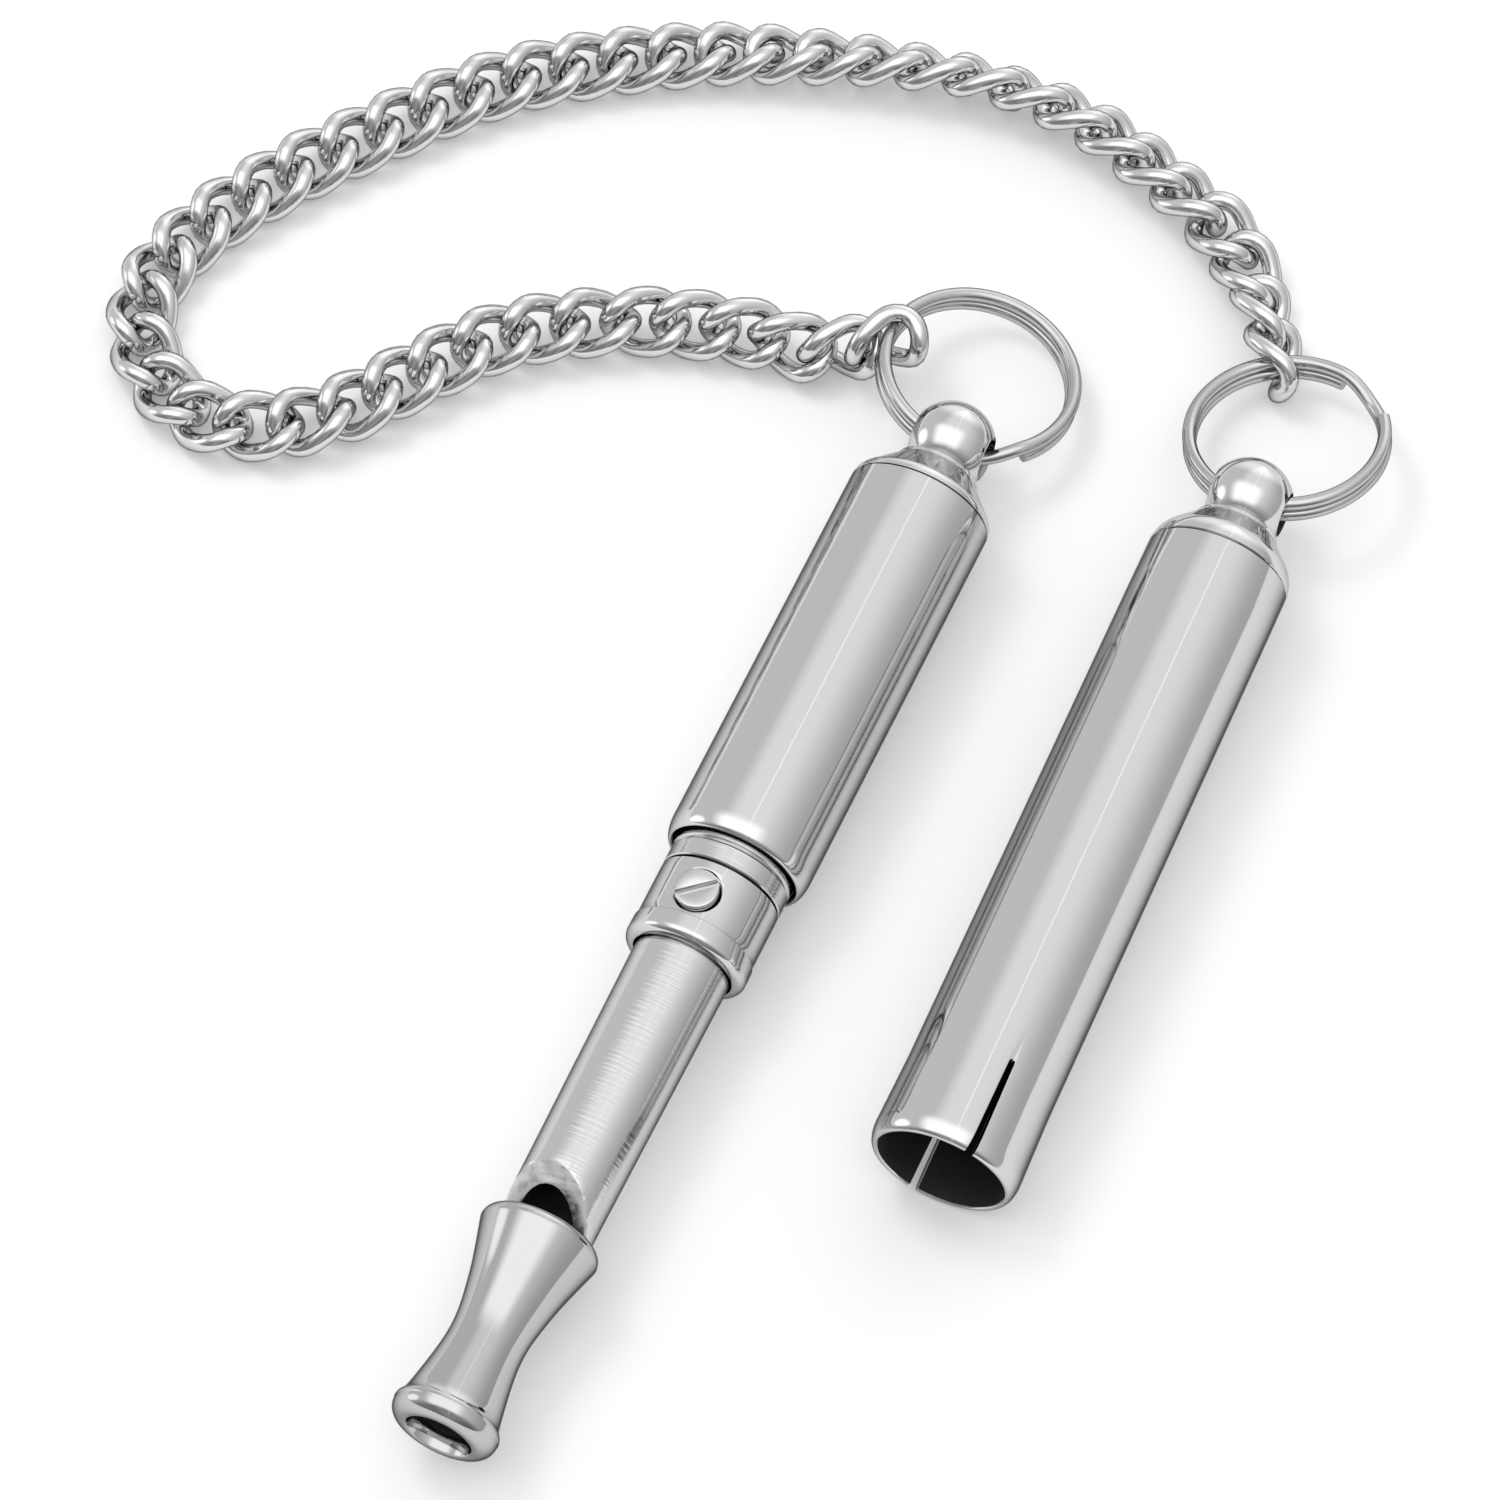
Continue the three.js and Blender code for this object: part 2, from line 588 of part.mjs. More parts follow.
// Joints of the chain along its route, each one link's pitch from the one before
function walkRoute(start, end, slack) {
  const middle = start.clone().lerp(end, 0.5);
  const points = [start];
  const rolls = [new THREE.Vector3(ROUTE_START_ROLL, 0, 0)];
  for (const [x, y, roll] of ROUTE) {
    const place = new THREE.Vector3(x, y, restHeight(roll));
    place.x = middle.x + slack * (x - middle.x);
    place.y = middle.y + slack * (y - middle.y);
    points.push(place);
    rolls.push(new THREE.Vector3(roll, 0, 0));
  }
  points.push(end);
  rolls.push(new THREE.Vector3(ROUTE_END_ROLL, 0, 0));
  const path = new THREE.CatmullRomCurve3(points);
  const rollPath = new THREE.CatmullRomCurve3(rolls, false, 'catmullrom');
  const joints = [{ at: start, roll: ROUTE_START_ROLL }];
  let last = start;
  let before = start;
  let left = 0;
  let need = LINK_PITCH / 2 + LINK_ON_RING;
  for (let i = 1; i <= ROUTE_SAMPLES; i += 1) {
    const here = path.getPoint(i / ROUTE_SAMPLES);
    if (joints.length < LINK_COUNT && here.distanceTo(last) >= need) {
      const short = before.distanceTo(last);
      const share = (need - short) / (here.distanceTo(last) - short);
      last = before.clone().lerp(here, share);
      joints.push({ at: last, roll: rollPath.getPoint(i / ROUTE_SAMPLES).x });
      need = LINK_PITCH;
      left = last.distanceTo(here);
    } else {
      left += before.distanceTo(here);
    }
    before = here;
  }
  const missing = LINK_COUNT - joints.length;
  return { joints, spare: missing > 0 ? -missing : left - LINK_PITCH / 2 - LINK_ON_RING };
}

// The route is let out or drawn in until the links fill it exactly
function chainJoints(start, end) {
  let low = SLACK_LOW;
  let high = SLACK_HIGH;
  while (high - low > WELD * WELD) {
    const slack = (low + high) / 2;
    if (walkRoute(start, end, slack).spare > 0) {
      high = slack;
    } else {
      low = slack;
    }
  }
  const { joints } = walkRoute(start, end, high);
  joints.push({ at: end, roll: ROUTE_END_ROLL });
  return joints;
}

function chain(start, end) {
  const joints = chainJoints(start, end);
  const group = new THREE.Group();
  group.name = 'chain';
  const link = wire(linkPlaces(), LINK_WIRE, true);
  for (let i = 0; i < LINK_COUNT; i += 1) {
    const from = joints[i];
    const to = joints[i + 1];
    const along = to.at.clone().sub(from.at).normalize();
    const across = new THREE.Vector3(0, 0, 1).cross(along).normalize();
    const up = along.clone().cross(across);
    const upright = new THREE.Matrix4().makeBasis(along, across, up);
    const roll = new THREE.Matrix4().makeRotationX(radians((from.roll + to.roll) / 2));
    const mesh = piece(`chain_link_${String(i + 1).padStart(2, '0')}`, link.clone(), NICKEL);
    mesh.quaternion.setFromRotationMatrix(upright.multiply(roll));
    mesh.position.copy(from.at).lerp(to.at, 0.5);
    if (i === 0) {
      mesh.position.copy(from.at).addScaledVector(along, LINK_ON_RING);
    }
    if (i === LINK_COUNT - 1) {
      mesh.position.copy(to.at).addScaledVector(along, -LINK_ON_RING);
    }
    group.add(mesh);
  }
  return group;
}

// A split ring hung in a ball's hole, leaning by its pitch and roll and swung by its yaw
function hungRing(name, lie, ball) {
  const hanger = new THREE.Group();
  hanger.name = `${name}_hanger`;
  hanger.position.copy(ball);
  hanger.rotation.set(radians(lie.pitch), radians(lie.roll), radians(lie.yaw));
  const ring = piece(name, splitRing(lie.ends), NICKEL);
  ring.position.set(0, RING_RADIUS - RING_SEAT, 0);
  hanger.add(ring);
  return hanger;
}

// The place on a ring's wire where the chain hooks on
function ringHook(hanger, lie) {
  const angle = radians(lie.link);
  const place = new THREE.Vector3(RING_RADIUS * Math.cos(angle), RING_RADIUS * Math.sin(angle), 0);
  return hanger.children[0].localToWorld(place);
}

function whistle() {
  const group = new THREE.Group();
  group.name = 'whistle';
  group.rotation.set(0, 0, radians(WHISTLE_YAW));
  group.position.set(0, -whistleBallAt, 0);
  group.position.applyEuler(group.rotation);
  group.position.add(new THREE.Vector3(...WHISTLE_BALL_AT, BARREL_RADIUS));
  const knob = piece('barrel_finial', barrelFinial(), NICKEL);
  knob.position.set(0, BARREL_LENGTH + FIT, 0);
  const screwStand = new THREE.Group();
  screwStand.name = 'lock_screw_stand';
  screwStand.rotation.set(0, radians(-SCREW_TURN), 0);
  const screw = piece('lock_screw', lockScrew(), NICKEL);
  screw.rotation.set(Math.PI / 2, 0, 0);
  screw.position.set(0, -SCREW_AT, NECK_RADIUS - SCREW_RECESS + FIT);
  screwStand.add(screw);
  group.add(
    piece('mouthpiece', mouthpiece(), NICKEL),
    piece('fipple_plug', fipplePlug(), BARE_BRASS),
    piece('whistle_tube', whistleTube(), NICKEL),
    piece('lock_collar', lockCollar(), NICKEL),
    screwStand,
    piece('neck_bush', neckBush(), NICKEL),
    piece('barrel', barrel(), NICKEL),
    knob,
    piece('plunger', plunger(), BARE_BRASS),
    piece('plunger_seal', plungerSeal(), FIBRE),
  );
  return group;
}

function cap() {
  const group = new THREE.Group();
  group.name = 'cap';
  group.position.set(CAP_BALL_AT[0], CAP_BALL_AT[1] - capBallAt, CAP_HEIGHT);
  const knob = piece('cap_finial', capFinial(), NICKEL);
  knob.position.set(0, CAP_LENGTH + FIT, 0);
  group.add(piece('cap_tube', capTube(), NICKEL), knob);
  return group;
}

const whistleBallAt = BARREL_LENGTH + FIT + finialBallAt(BARREL_RADIUS, BARREL_DOME_ROUND);
const capBallAt = CAP_LENGTH + FIT + finialBallAt(CAP_RADIUS, CAP_DOME_ROUND);
const whistleGroup = whistle();
const capGroup = cap();
const laid = new THREE.Group();
laid.name = 'laid_out';
laid.add(whistleGroup, capGroup);
laid.updateMatrixWorld(true);

const whistleBall = new THREE.Vector3(0, whistleBallAt, 0);
const capBall = new THREE.Vector3(0, capBallAt, 0);
const whistleRing = hungRing('whistle_ring', WHISTLE_RING, whistleGroup.localToWorld(whistleBall));
const capRing = hungRing('cap_ring', CAP_RING, capGroup.localToWorld(capBall));
laid.add(whistleRing, capRing);
laid.updateMatrixWorld(true);
laid.add(chain(ringHook(whistleRing, WHISTLE_RING), ringHook(capRing, CAP_RING)));

// The frame's origin is under the middle of the whole, on the table
const extent = new THREE.Box3().setFromObject(laid, true);
laid.position.set(
  -(extent.min.x + extent.max.x) / 2,
  -(extent.min.y + extent.max.y) / 2,
  -extent.min.z,
);
const dogWhistle = new THREE.Group();
dogWhistle.name = 'dog_whistle';
dogWhistle.add(laid);

export default dogWhistle;
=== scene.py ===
"""A bright dog whistle with its cap and curb chain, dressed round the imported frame."""

import json
import math

import bmesh
import bpy
from mathutils import Matrix, Vector


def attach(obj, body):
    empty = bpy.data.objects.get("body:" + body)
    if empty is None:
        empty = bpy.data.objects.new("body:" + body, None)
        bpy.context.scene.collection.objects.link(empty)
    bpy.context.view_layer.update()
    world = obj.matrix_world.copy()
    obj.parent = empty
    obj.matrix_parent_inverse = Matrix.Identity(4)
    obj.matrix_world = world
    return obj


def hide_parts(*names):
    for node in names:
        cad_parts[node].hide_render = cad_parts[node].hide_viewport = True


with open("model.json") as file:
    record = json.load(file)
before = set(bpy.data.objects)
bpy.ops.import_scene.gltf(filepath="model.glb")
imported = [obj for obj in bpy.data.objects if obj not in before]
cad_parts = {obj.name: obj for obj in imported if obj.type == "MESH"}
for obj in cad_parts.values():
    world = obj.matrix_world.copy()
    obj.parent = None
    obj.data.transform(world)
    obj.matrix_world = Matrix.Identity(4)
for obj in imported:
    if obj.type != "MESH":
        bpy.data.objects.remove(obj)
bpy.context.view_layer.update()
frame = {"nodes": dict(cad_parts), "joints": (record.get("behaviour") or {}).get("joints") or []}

JOINTS = {joint["name"]: joint for joint in frame["joints"]}
MM = 0.001

# Camera: where the photograph was taken from, about the point at the image's middle
CAMERA_AZIMUTH = 23.18
CAMERA_ELEVATION = 62.16
CAMERA_DISTANCE = 564.7
CAMERA_LENS = 216
CAMERA_SENSOR = 36
CAMERA_CLIP = 0.01
VIEW_FROM_BALL = (-4.12, -22.78, -4.75)

# Studio: the white sweep, the tent's grey by its angle from overhead towards +X, and the lamps
FLOOR_REACH = 1.5
FLOOR_COLOUR = (0.8, 0.8, 0.8)
FLOOR_LIFT = 0.15
WALLS = [(-100, 0.8), (-40, 0.75), (-15, 1.05), (15, 1.05), (85, 0.55)]
DARK_FRONT = (-0.25, -0.8)
DARK_FRONT_LEVEL = 0.35
REAR_GLOW = (0.7, 0.95)
REAR_GLOW_LEVEL = 0.5
STRIP_AT = 6
STRIP_HALF_WIDTH = 1.2
STRIP_LEVEL = 0.5
SOFTBOX_LEVEL = 1.6
SOFTBOX_LEFT = (-55, -30)
SOFTBOX_RIGHT = (40, 15)
SOFTBOX_REAR = (0.45, 0.1)
SOFTBOX_FRONT = (-0.65, -0.4)
SIDE_LAMP_TOWARDS = (-0.96, -0.17, 0.2)
SIDE_LAMP_EDGE = (18, 10)
SIDE_LAMP_LEVEL = 1.6
KEY_SIZE = (0.16, 0.16)
KEY_PLACE = (-0.22, 0.08, 0.45)
KEY_POWER = 0.45

# Smoothness of the dressed pieces, how near counts as touching, and fits in millimetres
TURN_STEPS = 144
ROUND_STEPS = 12
WIRE_SIDES = 16
RING_STEPS = 220
LINK_BEND_STEPS = 14
LINK_SIDE_STEPS = 6
SHARP_ANGLE = 32
BREAK_ANGLE = 40
BREAK_STEPS = 2
EDGE_STEPS = 3
BEAD_STEPS = 4
CHAMFER_STEPS = 5
TUBE_BANDS = 20
COLLAR_BANDS = 8
CAP_BANDS = 12
FLARE_BANDS = 10
FLARE_BORE_BANDS = 6
ON_AXIS = 1e-6
NEAR = 0.01
FIT = 0.15
CUT_MARGIN = 1.0

# Barrel and finials, in millimetres
BARREL_RADIUS = 4.75
BARREL_BORE = 4.2
BARREL_LENGTH = 27.78
LIP_ROUND = 0.45
LIP_LENGTH = 1.3
EDGE = 0.08
JOINT_LINE = 0.04
BARREL_DOME_ROUND = 1.0
CAP_DOME_ROUND = 2.1
DOME_START = 2.0
DOME_SLOPE = 42.0
FLANGE_RADIUS = 2.75
FLANGE_HEIGHT = 0.3
FLANGE_TO_BALL = 2.15
BALL_RADIUS = 2.83
BALL_HOLE_RADIUS = 1.45
SPIGOT_LENGTH = 4.0
SOCKET_RADIUS = 1.29
SOCKET_DEPTH = 3.0
FINIAL_BREAK = 0.06

# Neck bush, lock collar and screw
NECK_RADIUS = 3.95
NECK_SHOW = 1.85
NECK_INSET = 1.2
NECK_SEAT_LENGTH = 5.0
GROOVE_DEPTH = 0.22
GROOVE_WIDTH = 0.35
GROOVE_SETBACK = 0.3
COLLAR_BORE = 3.35
COLLAR_LENGTH = 5.5
COLLAR_BEAD = 0.1
COLLAR_BEAD_LENGTH = 1.5
COLLAR_BEAD_START = -60
COLLAR_BREAK = 0.04
SCREW_TURN = 7.0
SCREW_AT = 4.2
SCREW_HEAD_RADIUS = 1.4
SCREW_HEAD_HEIGHT = 0.5
SCREW_SHANK_RADIUS = 0.6
SCREW_SHANK = 0.4
SCREW_RECESS = 0.35
SLOT_WIDTH = 0.47
SLOT_DEPTH = 0.3
SLOT_TURN = 37.0
SCREW_BREAK = 0.03

# Tube and mouthpiece
TUBE_RADIUS = 3.2
TUBE_FRONT_RADIUS = 3.0
TUBE_BORE = 2.048
TUBE_SHOW = 19.65
TUBE_TAIL = 8.0
TENON_RADIUS = 2.548
TENON_LENGTH = 3.4
WINDOW_TURN = 18.0
WINDOW_LENGTH = 3.15
WINDOW_FLOOR = 0.2
WINDOW_MARKS = 9
WINDOW_MARK_DEPTH = 0.07
TUBE_BREAK = 0.08
MOUTH_LENGTH = 14.8
MOUTH_BORE = 1.95
MOUTH_SINK_RADIUS = 2.15
MOUTH_SINK_DEPTH = 1.0
MOUTH_SINK_START = 200
MOUTH_LIP_RADIUS = 3.45
MOUTH_LIP_ROUND = 1.0
MOUTH_BULGE_RADIUS = 3.9
MOUTH_BULGE_ROUND = 0.8
MOUTH_CURVE = [(1.3, 3.45), (2.4, 3.02), (6.6, 2.42), (10.2, 2.88)]
MOUTH_CURVE_STEPS = 16

# Cap
CAP_RADIUS = 4.7
CAP_BORE = 4.05
CAP_LENGTH = 45.05
CAP_FLARE = 0.12
CAP_FLARE_LENGTH = 6.0
CAP_RIM_ROUND = 0.45
CAP_RIM_LENGTH = 1.2
SLIT_MOUTH_WIDTH = 0.6
SLIT_END_WIDTH = 0.4
SLIT_LENGTH = 6.7
SLIT_TURN = 24.0
CAP_BREAK = 0.05

# Split rings and chain
RING_RADIUS = 6.2
RING_SEAT = 0.2
RING_WIRE = 0.88
RING_LIFT = 0.92
RING_STEP_TURN = 30.0
RING_END_GAP = 14.0
WHISTLE_RING = {"pitch": -11.0, "roll": 8.0, "yaw": 5.5, "ends": 315.0}
CAP_RING = {"pitch": -11.0, "roll": -9.0, "yaw": -3.0, "ends": 78.0}
LINK_COUNT = 46
LINK_WIRE = 1.2
LINK_REACH = 2.405
LINK_BEND = 1.7136
LINK_TWIST = -110.0
LINK_WAIST = 0.3

# Finishes: grey levels and colours, roughness, and grain as scale, share of roughness and strength; some
# levels and edge shares below are painted light and shade
NICKEL_LEVEL = 0.64
# Painted shade: the mouthpiece's nickel is set darker than the rest, standing in for darker reflections on
# it
MOUTH_SHADED_LEVEL = 0.52
# Painted highlight: the chain's nickel is set a little lighter than the rest, for brighter highlights on
# the links
CHAIN_LIT_LEVEL = 0.68
# Painted shade: the split rings' nickel is set darker than the rest, standing in for darker reflections on
# the wire
RING_SHADED_LEVEL = 0.52
# Painted light: the window ramp's nickel is set much lighter than the rest, standing in for light on the
# ramp; its roughness and grain are the milling
MILLED_LIT_LEVEL = 0.88
# Painted shade: the bore level is near black, standing in for the shade deep inside the bores and the cap
# ball's hole
BORE_SHADE_LEVEL = 0.012
BRASS_COLOUR = (0.1, 0.075, 0.04)
LEATHER_COLOUR = (0.16, 0.10, 0.06)
# Painted shade at the silhouettes: the nickel's reflection is taken far down where it is seen edge-on,
# standing in for the shaded floor seen in the flanks; the finials get a lighter share so their cones read
# lighter
SHADED_EDGE_SHARE = 0.15
LIGHTER_EDGE_SHARE = 0.7
POLISHED_ROUGHNESS = 0.07
POLISHED_GRAIN = (420, 0.2, 0.06)
WIRE_ROUGHNESS = 0.09
WIRE_GRAIN = (1100, 0.5, 0.25)
MILLED_ROUGHNESS = 0.38
MILLED_GRAIN = (1500, 0.4, 0.4)
BRASS_ROUGHNESS = 0.5
BRASS_GRAIN = (900, 0.2, 0.1)
BORE_ROUGHNESS = 0.7
BORE_GRAIN = (900, 0.2, 0.2)
LEATHER_ROUGHNESS = 0.8
LEATHER_GRAIN = (1600, 0.1, 0.5)
GRAIN_DETAIL = 3
GRAIN_REACH = (0.3, 0.7)
GRAIN_DEPTH = 0.00005
TURNED_ROUGHNESS = 0.14
TURNING_STRETCH = (0.4, 5.0, 1.0)
TURNING_DETAIL = 4
TURNING_STRENGTH = 0.4
TURNING_DEPTH = 0.00006

# Places along the whistle's axis that follow from the sizes
COLLAR_REAR = -NECK_SHOW - FIT
COLLAR_FRONT = COLLAR_REAR - COLLAR_LENGTH
TUBE_FRONT = COLLAR_FRONT - TUBE_SHOW
TENON_FRONT = TUBE_FRONT - TENON_LENGTH
MOUTH_REAR = TUBE_FRONT - FIT
MOUTH_TIP = MOUTH_REAR - MOUTH_LENGTH


def flange_at(outer, shoulder):
    slope = math.radians(DOME_SLOPE)
    cone_start = outer - shoulder * (1 - math.cos(slope))
    return shoulder * math.sin(slope) + (cone_start - FLANGE_RADIUS) / math.tan(slope)


def ball_at(outer, shoulder):
    return flange_at(outer, shoulder) + FLANGE_HEIGHT + FLANGE_TO_BALL


def whistle_matrix():
    joint = JOINTS["pitch_turn"]
    axis = joint["axis"]
    yaw = math.atan2(-axis[0], axis[1])
    return Matrix.Translation(joint["pos_m"]) @ Matrix.Rotation(yaw, 4, "Z") @ Matrix.Scale(MM, 4)


def cap_matrix():
    ball = Vector(JOINTS["cap_swing"]["pos_m"])
    mouth = ball - Vector((0, MM * (CAP_LENGTH + FIT + ball_at(CAP_RADIUS, CAP_DOME_ROUND)), 0))
    return Matrix.Translation(mouth) @ Matrix.Scale(MM, 4)


WHISTLE = whistle_matrix()
CAP = cap_matrix()


# Outlines and meshes
def rounded(centre, reach, start, end, steps=ROUND_STEPS):
    """An arc of an outline between two angles, as (radius, along) pairs."""
    points = []
    for i in range(steps + 1):
        angle = math.radians(start + (end - start) * i / steps)
        radius = max(centre[0] + reach[0] * math.cos(angle), 0)
        points.append((radius, centre[1] + reach[1] * math.sin(angle)))
    return points


def rounded_end(radius, place, steps=ROUND_STEPS):
    """A half round across an outline's end, as (across, along) pairs."""
    points = []
    for i in range(steps + 1):
        angle = math.pi * i / steps
        points.append((radius * math.cos(angle), place + radius * math.sin(angle)))
    return points


def spread(start, end, steps):
    """Points that divide a straight stretch of an outline, without its ends."""
    return [
        (start[0] + (end[0] - start[0]) * i / steps, start[1] + (end[1] - start[1]) * i / steps)
        for i in range(1, steps)
    ]


def spline(points, steps):
    """A smooth curve through points, as a Catmull-Rom spline."""
    ends = [points[0]] + list(points) + [points[-1]]

    def blend(a, b, c, d, t):
        bend = (2 * a - 5 * b + 4 * c - d) * t * t
        turn = (3 * b - a - 3 * c + d) * t * t * t
        return (2 * b + (c - a) * t + bend + turn) / 2

    curve = []
    for i in range(1, len(ends) - 2):
        near = list(zip(*ends[i - 1 : i + 3]))
        for k in range(steps):
            curve.append(tuple(blend(*values, k / steps) for values in near))
    curve.append(points[-1])
    return curve


def finished(name, bm):
    """An object in the scene from a worked mesh."""
    mesh = bpy.data.meshes.new(name)
    bm.to_mesh(mesh)
    bm.free()
    obj = bpy.data.objects.new(name, mesh)
    bpy.context.scene.collection.objects.link(obj)
    return obj


def turned(name, outline, closed=False):
    """A piece revolved about Y, with UV as the angle and the place along the axis."""
    bm = bmesh.new()
    uv = bm.loops.layers.uv.new("UVMap")
    rings = []
    for radius, height in outline:
        if radius < ON_AXIS:
            vertex = bm.verts.new((0, height, 0))
            rings.append([vertex] * TURN_STEPS)
            continue
        ring = []
        for i in range(TURN_STEPS):
            angle = 2 * math.pi * i / TURN_STEPS
            ring.append(bm.verts.new((radius * math.sin(angle), height, radius * math.cos(angle))))
        rings.append(ring)
    pairs = list(zip(range(len(rings) - 1), range(1, len(rings))))
    if closed:
        pairs.append((len(rings) - 1, 0))
    for low, high in pairs:
        for i in range(TURN_STEPS):
            k = (i + 1) % TURN_STEPS
            corners = [rings[low][i], rings[low][k], rings[high][k], rings[high][i]]
            places = [(i, low), (i + 1, low), (i + 1, high), (i, high)]
            kept = [n for n in range(4) if corners[n] not in corners[:n]]
            if len(kept) < 3:
                continue
            face = bm.faces.new([corners[n] for n in kept])
            face.smooth = True
            for loop, n in zip(face.loops, kept):
                loop[uv].uv = (places[n][0] / TURN_STEPS, outline[places[n][1]][1])
    return finished(name, bm)


def cylinder(radius, length, axis, centre):
    """A round cutter along an axis."""
    bm = bmesh.new()
    bmesh.ops.create_cone(
        bm, cap_ends=True, segments=TURN_STEPS, radius1=radius, radius2=radius, depth=length
    )
    turn = Vector((0, 0, 1)).rotation_difference(Vector(axis)).to_matrix().to_4x4()
    bm.transform(Matrix.Translation(centre) @ turn)
    return finished("cutter", bm)


def block(size, matrix):
    """A square-cornered cutter."""
    bm = bmesh.new()
    bmesh.ops.create_cube(bm, size=1.0)
    bm.transform(matrix @ Matrix.Diagonal((*size, 1)))
    return finished("cutter", bm)


def prism(side, width, matrix):
    """A cutter of constant side outline: (height, place along Y) pairs, widened along X."""
    bm = bmesh.new()
    loops = []
    for x in (-width / 2, width / 2):
        loops.append([bm.verts.new((x, y, z)) for z, y in side])
    bm.faces.new(loops[0])
    bm.faces.new(list(reversed(loops[1])))
    for i in range(len(side)):
        k = (i + 1) % len(side)
        bm.faces.new([loops[0][k], loops[0][i], loops[1][i], loops[1][k]])
    bmesh.ops.recalc_face_normals(bm, faces=bm.faces)
    bm.transform(matrix)
    return finished("cutter", bm)


def settle(obj):
    """The object's mesh with its modifiers worked in."""
    graph = bpy.context.evaluated_depsgraph_get()
    graph.update()
    mesh = bpy.data.meshes.new_from_object(obj.evaluated_get(graph))
    obj.modifiers.clear()
    obj.data = mesh


def carve(obj, *cutters):
    """Cuts a piece by cutters, which are then taken away."""
    for cutter in cutters:
        modifier = obj.modifiers.new("cut", "BOOLEAN")
        modifier.operation = "DIFFERENCE"
        modifier.solver = "EXACT"
        modifier.object = cutter
    settle(obj)
    for cutter in cutters:
        bpy.data.objects.remove(cutter)


def break_edges(obj, width):
    """A fine rounding of the hard edges, as plating leaves them."""
    modifier = obj.modifiers.new("edges", "BEVEL")
    modifier.width = width
    modifier.segments = BREAK_STEPS
    modifier.limit_method = "ANGLE"
    modifier.angle_limit = math.radians(BREAK_ANGLE)
    settle(obj)


def wire(name, places, thickness, closed):
    """A round wire along (point, outward side, direction) places."""
    bm = bmesh.new()
    rings = []
    for point, out, along in places:
        side = along.cross(out).normalized()
        lift = side.cross(along).normalized()
        ring = []
        for k in range(WIRE_SIDES):
            angle = 2 * math.pi * k / WIRE_SIDES
            offset = lift * math.cos(angle) + side * math.sin(angle)
            ring.append(bm.verts.new(point + offset * thickness / 2))
        rings.append(ring)
    spans = len(rings) if closed else len(rings) - 1
    for i in range(spans):
        here = rings[i]
        there = rings[(i + 1) % len(rings)]
        for k in range(WIRE_SIDES):
            n = (k + 1) % WIRE_SIDES
            bm.faces.new([here[k], here[n], there[n], there[k]])
    if not closed:
        bm.faces.new(list(reversed(rings[0])))
        bm.faces.new(rings[-1])
    for face in bm.faces:
        face.smooth = True
    return finished(name, bm)


def dress(obj, matrix, body, node, material, *others):
    """Puts a piece in the shared frame, on its body, in place of its CAD node.

    Others are (material, test) pairs for the faces whose middles pass the test.
    """
    obj.data.materials.clear()
    obj.data.materials.append(material)
    for index, (other, test) in enumerate(others, 1):
        obj.data.materials.append(other)
        for face in obj.data.polygons:
            if test(face.center):
                face.material_index = index
    obj.data.transform(matrix)
    obj.data.set_sharp_from_angle(angle=math.radians(SHARP_ANGLE))
    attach(obj, body)
    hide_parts(node)


# Materials
def principled(name, colour, metallic, roughness):
    material = bpy.data.materials.new(name)
    material.use_nodes = True
    shader = material.node_tree.nodes["Principled BSDF"]
    shader.inputs["Base Color"].default_value = (*colour, 1)
    shader.inputs["Metallic"].default_value = metallic
    shader.inputs["Roughness"].default_value = roughness
    return material, shader


def darken_edges(shader, share):
    """Takes the metal's reflection down to a share where it is seen edge-on, as painted shade at the
    silhouettes.
    """
    shader.inputs["Specular Tint"].default_value = (share, share, share, 1)


def add_bump(material, shader, height, strength, distance):
    bump = material.node_tree.nodes.new("ShaderNodeBump")
    bump.inputs["Strength"].default_value = strength
    bump.inputs["Distance"].default_value = distance
    material.node_tree.links.new(height, bump.inputs["Height"])
    material.node_tree.links.new(bump.outputs["Normal"], shader.inputs["Normal"])


def add_grain(material, shader, scale, variation, strength):
    """Varies the roughness by a fine grain, which also stands out a little."""
    nodes = material.node_tree.nodes
    links = material.node_tree.links
    place = nodes.new("ShaderNodeTexCoord")
    noise = nodes.new("ShaderNodeTexNoise")
    noise.inputs["Scale"].default_value = scale
    noise.inputs["Detail"].default_value = GRAIN_DETAIL
    rough = nodes.new("ShaderNodeMapRange")
    rough.inputs["From Min"].default_value = GRAIN_REACH[0]
    rough.inputs["From Max"].default_value = GRAIN_REACH[1]
    middle = shader.inputs["Roughness"].default_value
    rough.inputs["To Min"].default_value = middle * (1 - variation)
    rough.inputs["To Max"].default_value = middle * (1 + variation)
    links.new(place.outputs["Object"], noise.inputs["Vector"])
    links.new(noise.outputs["Fac"], rough.inputs["Value"])
    links.new(rough.outputs["Result"], shader.inputs["Roughness"])
    add_bump(material, shader, noise.outputs["Fac"], strength, GRAIN_DEPTH)


def grey(level):
    return (level, level, level)


def metal(name, colour, roughness, grain, edge=1.0):
    material, shader = principled(name, colour, 1.0, roughness)
    darken_edges(shader, edge)
    add_grain(material, shader, *grain)
    return material


def non_metal(name, colour, roughness, grain):
    material, shader = principled(name, colour, 0.0, roughness)
    add_grain(material, shader, *grain)
    return material


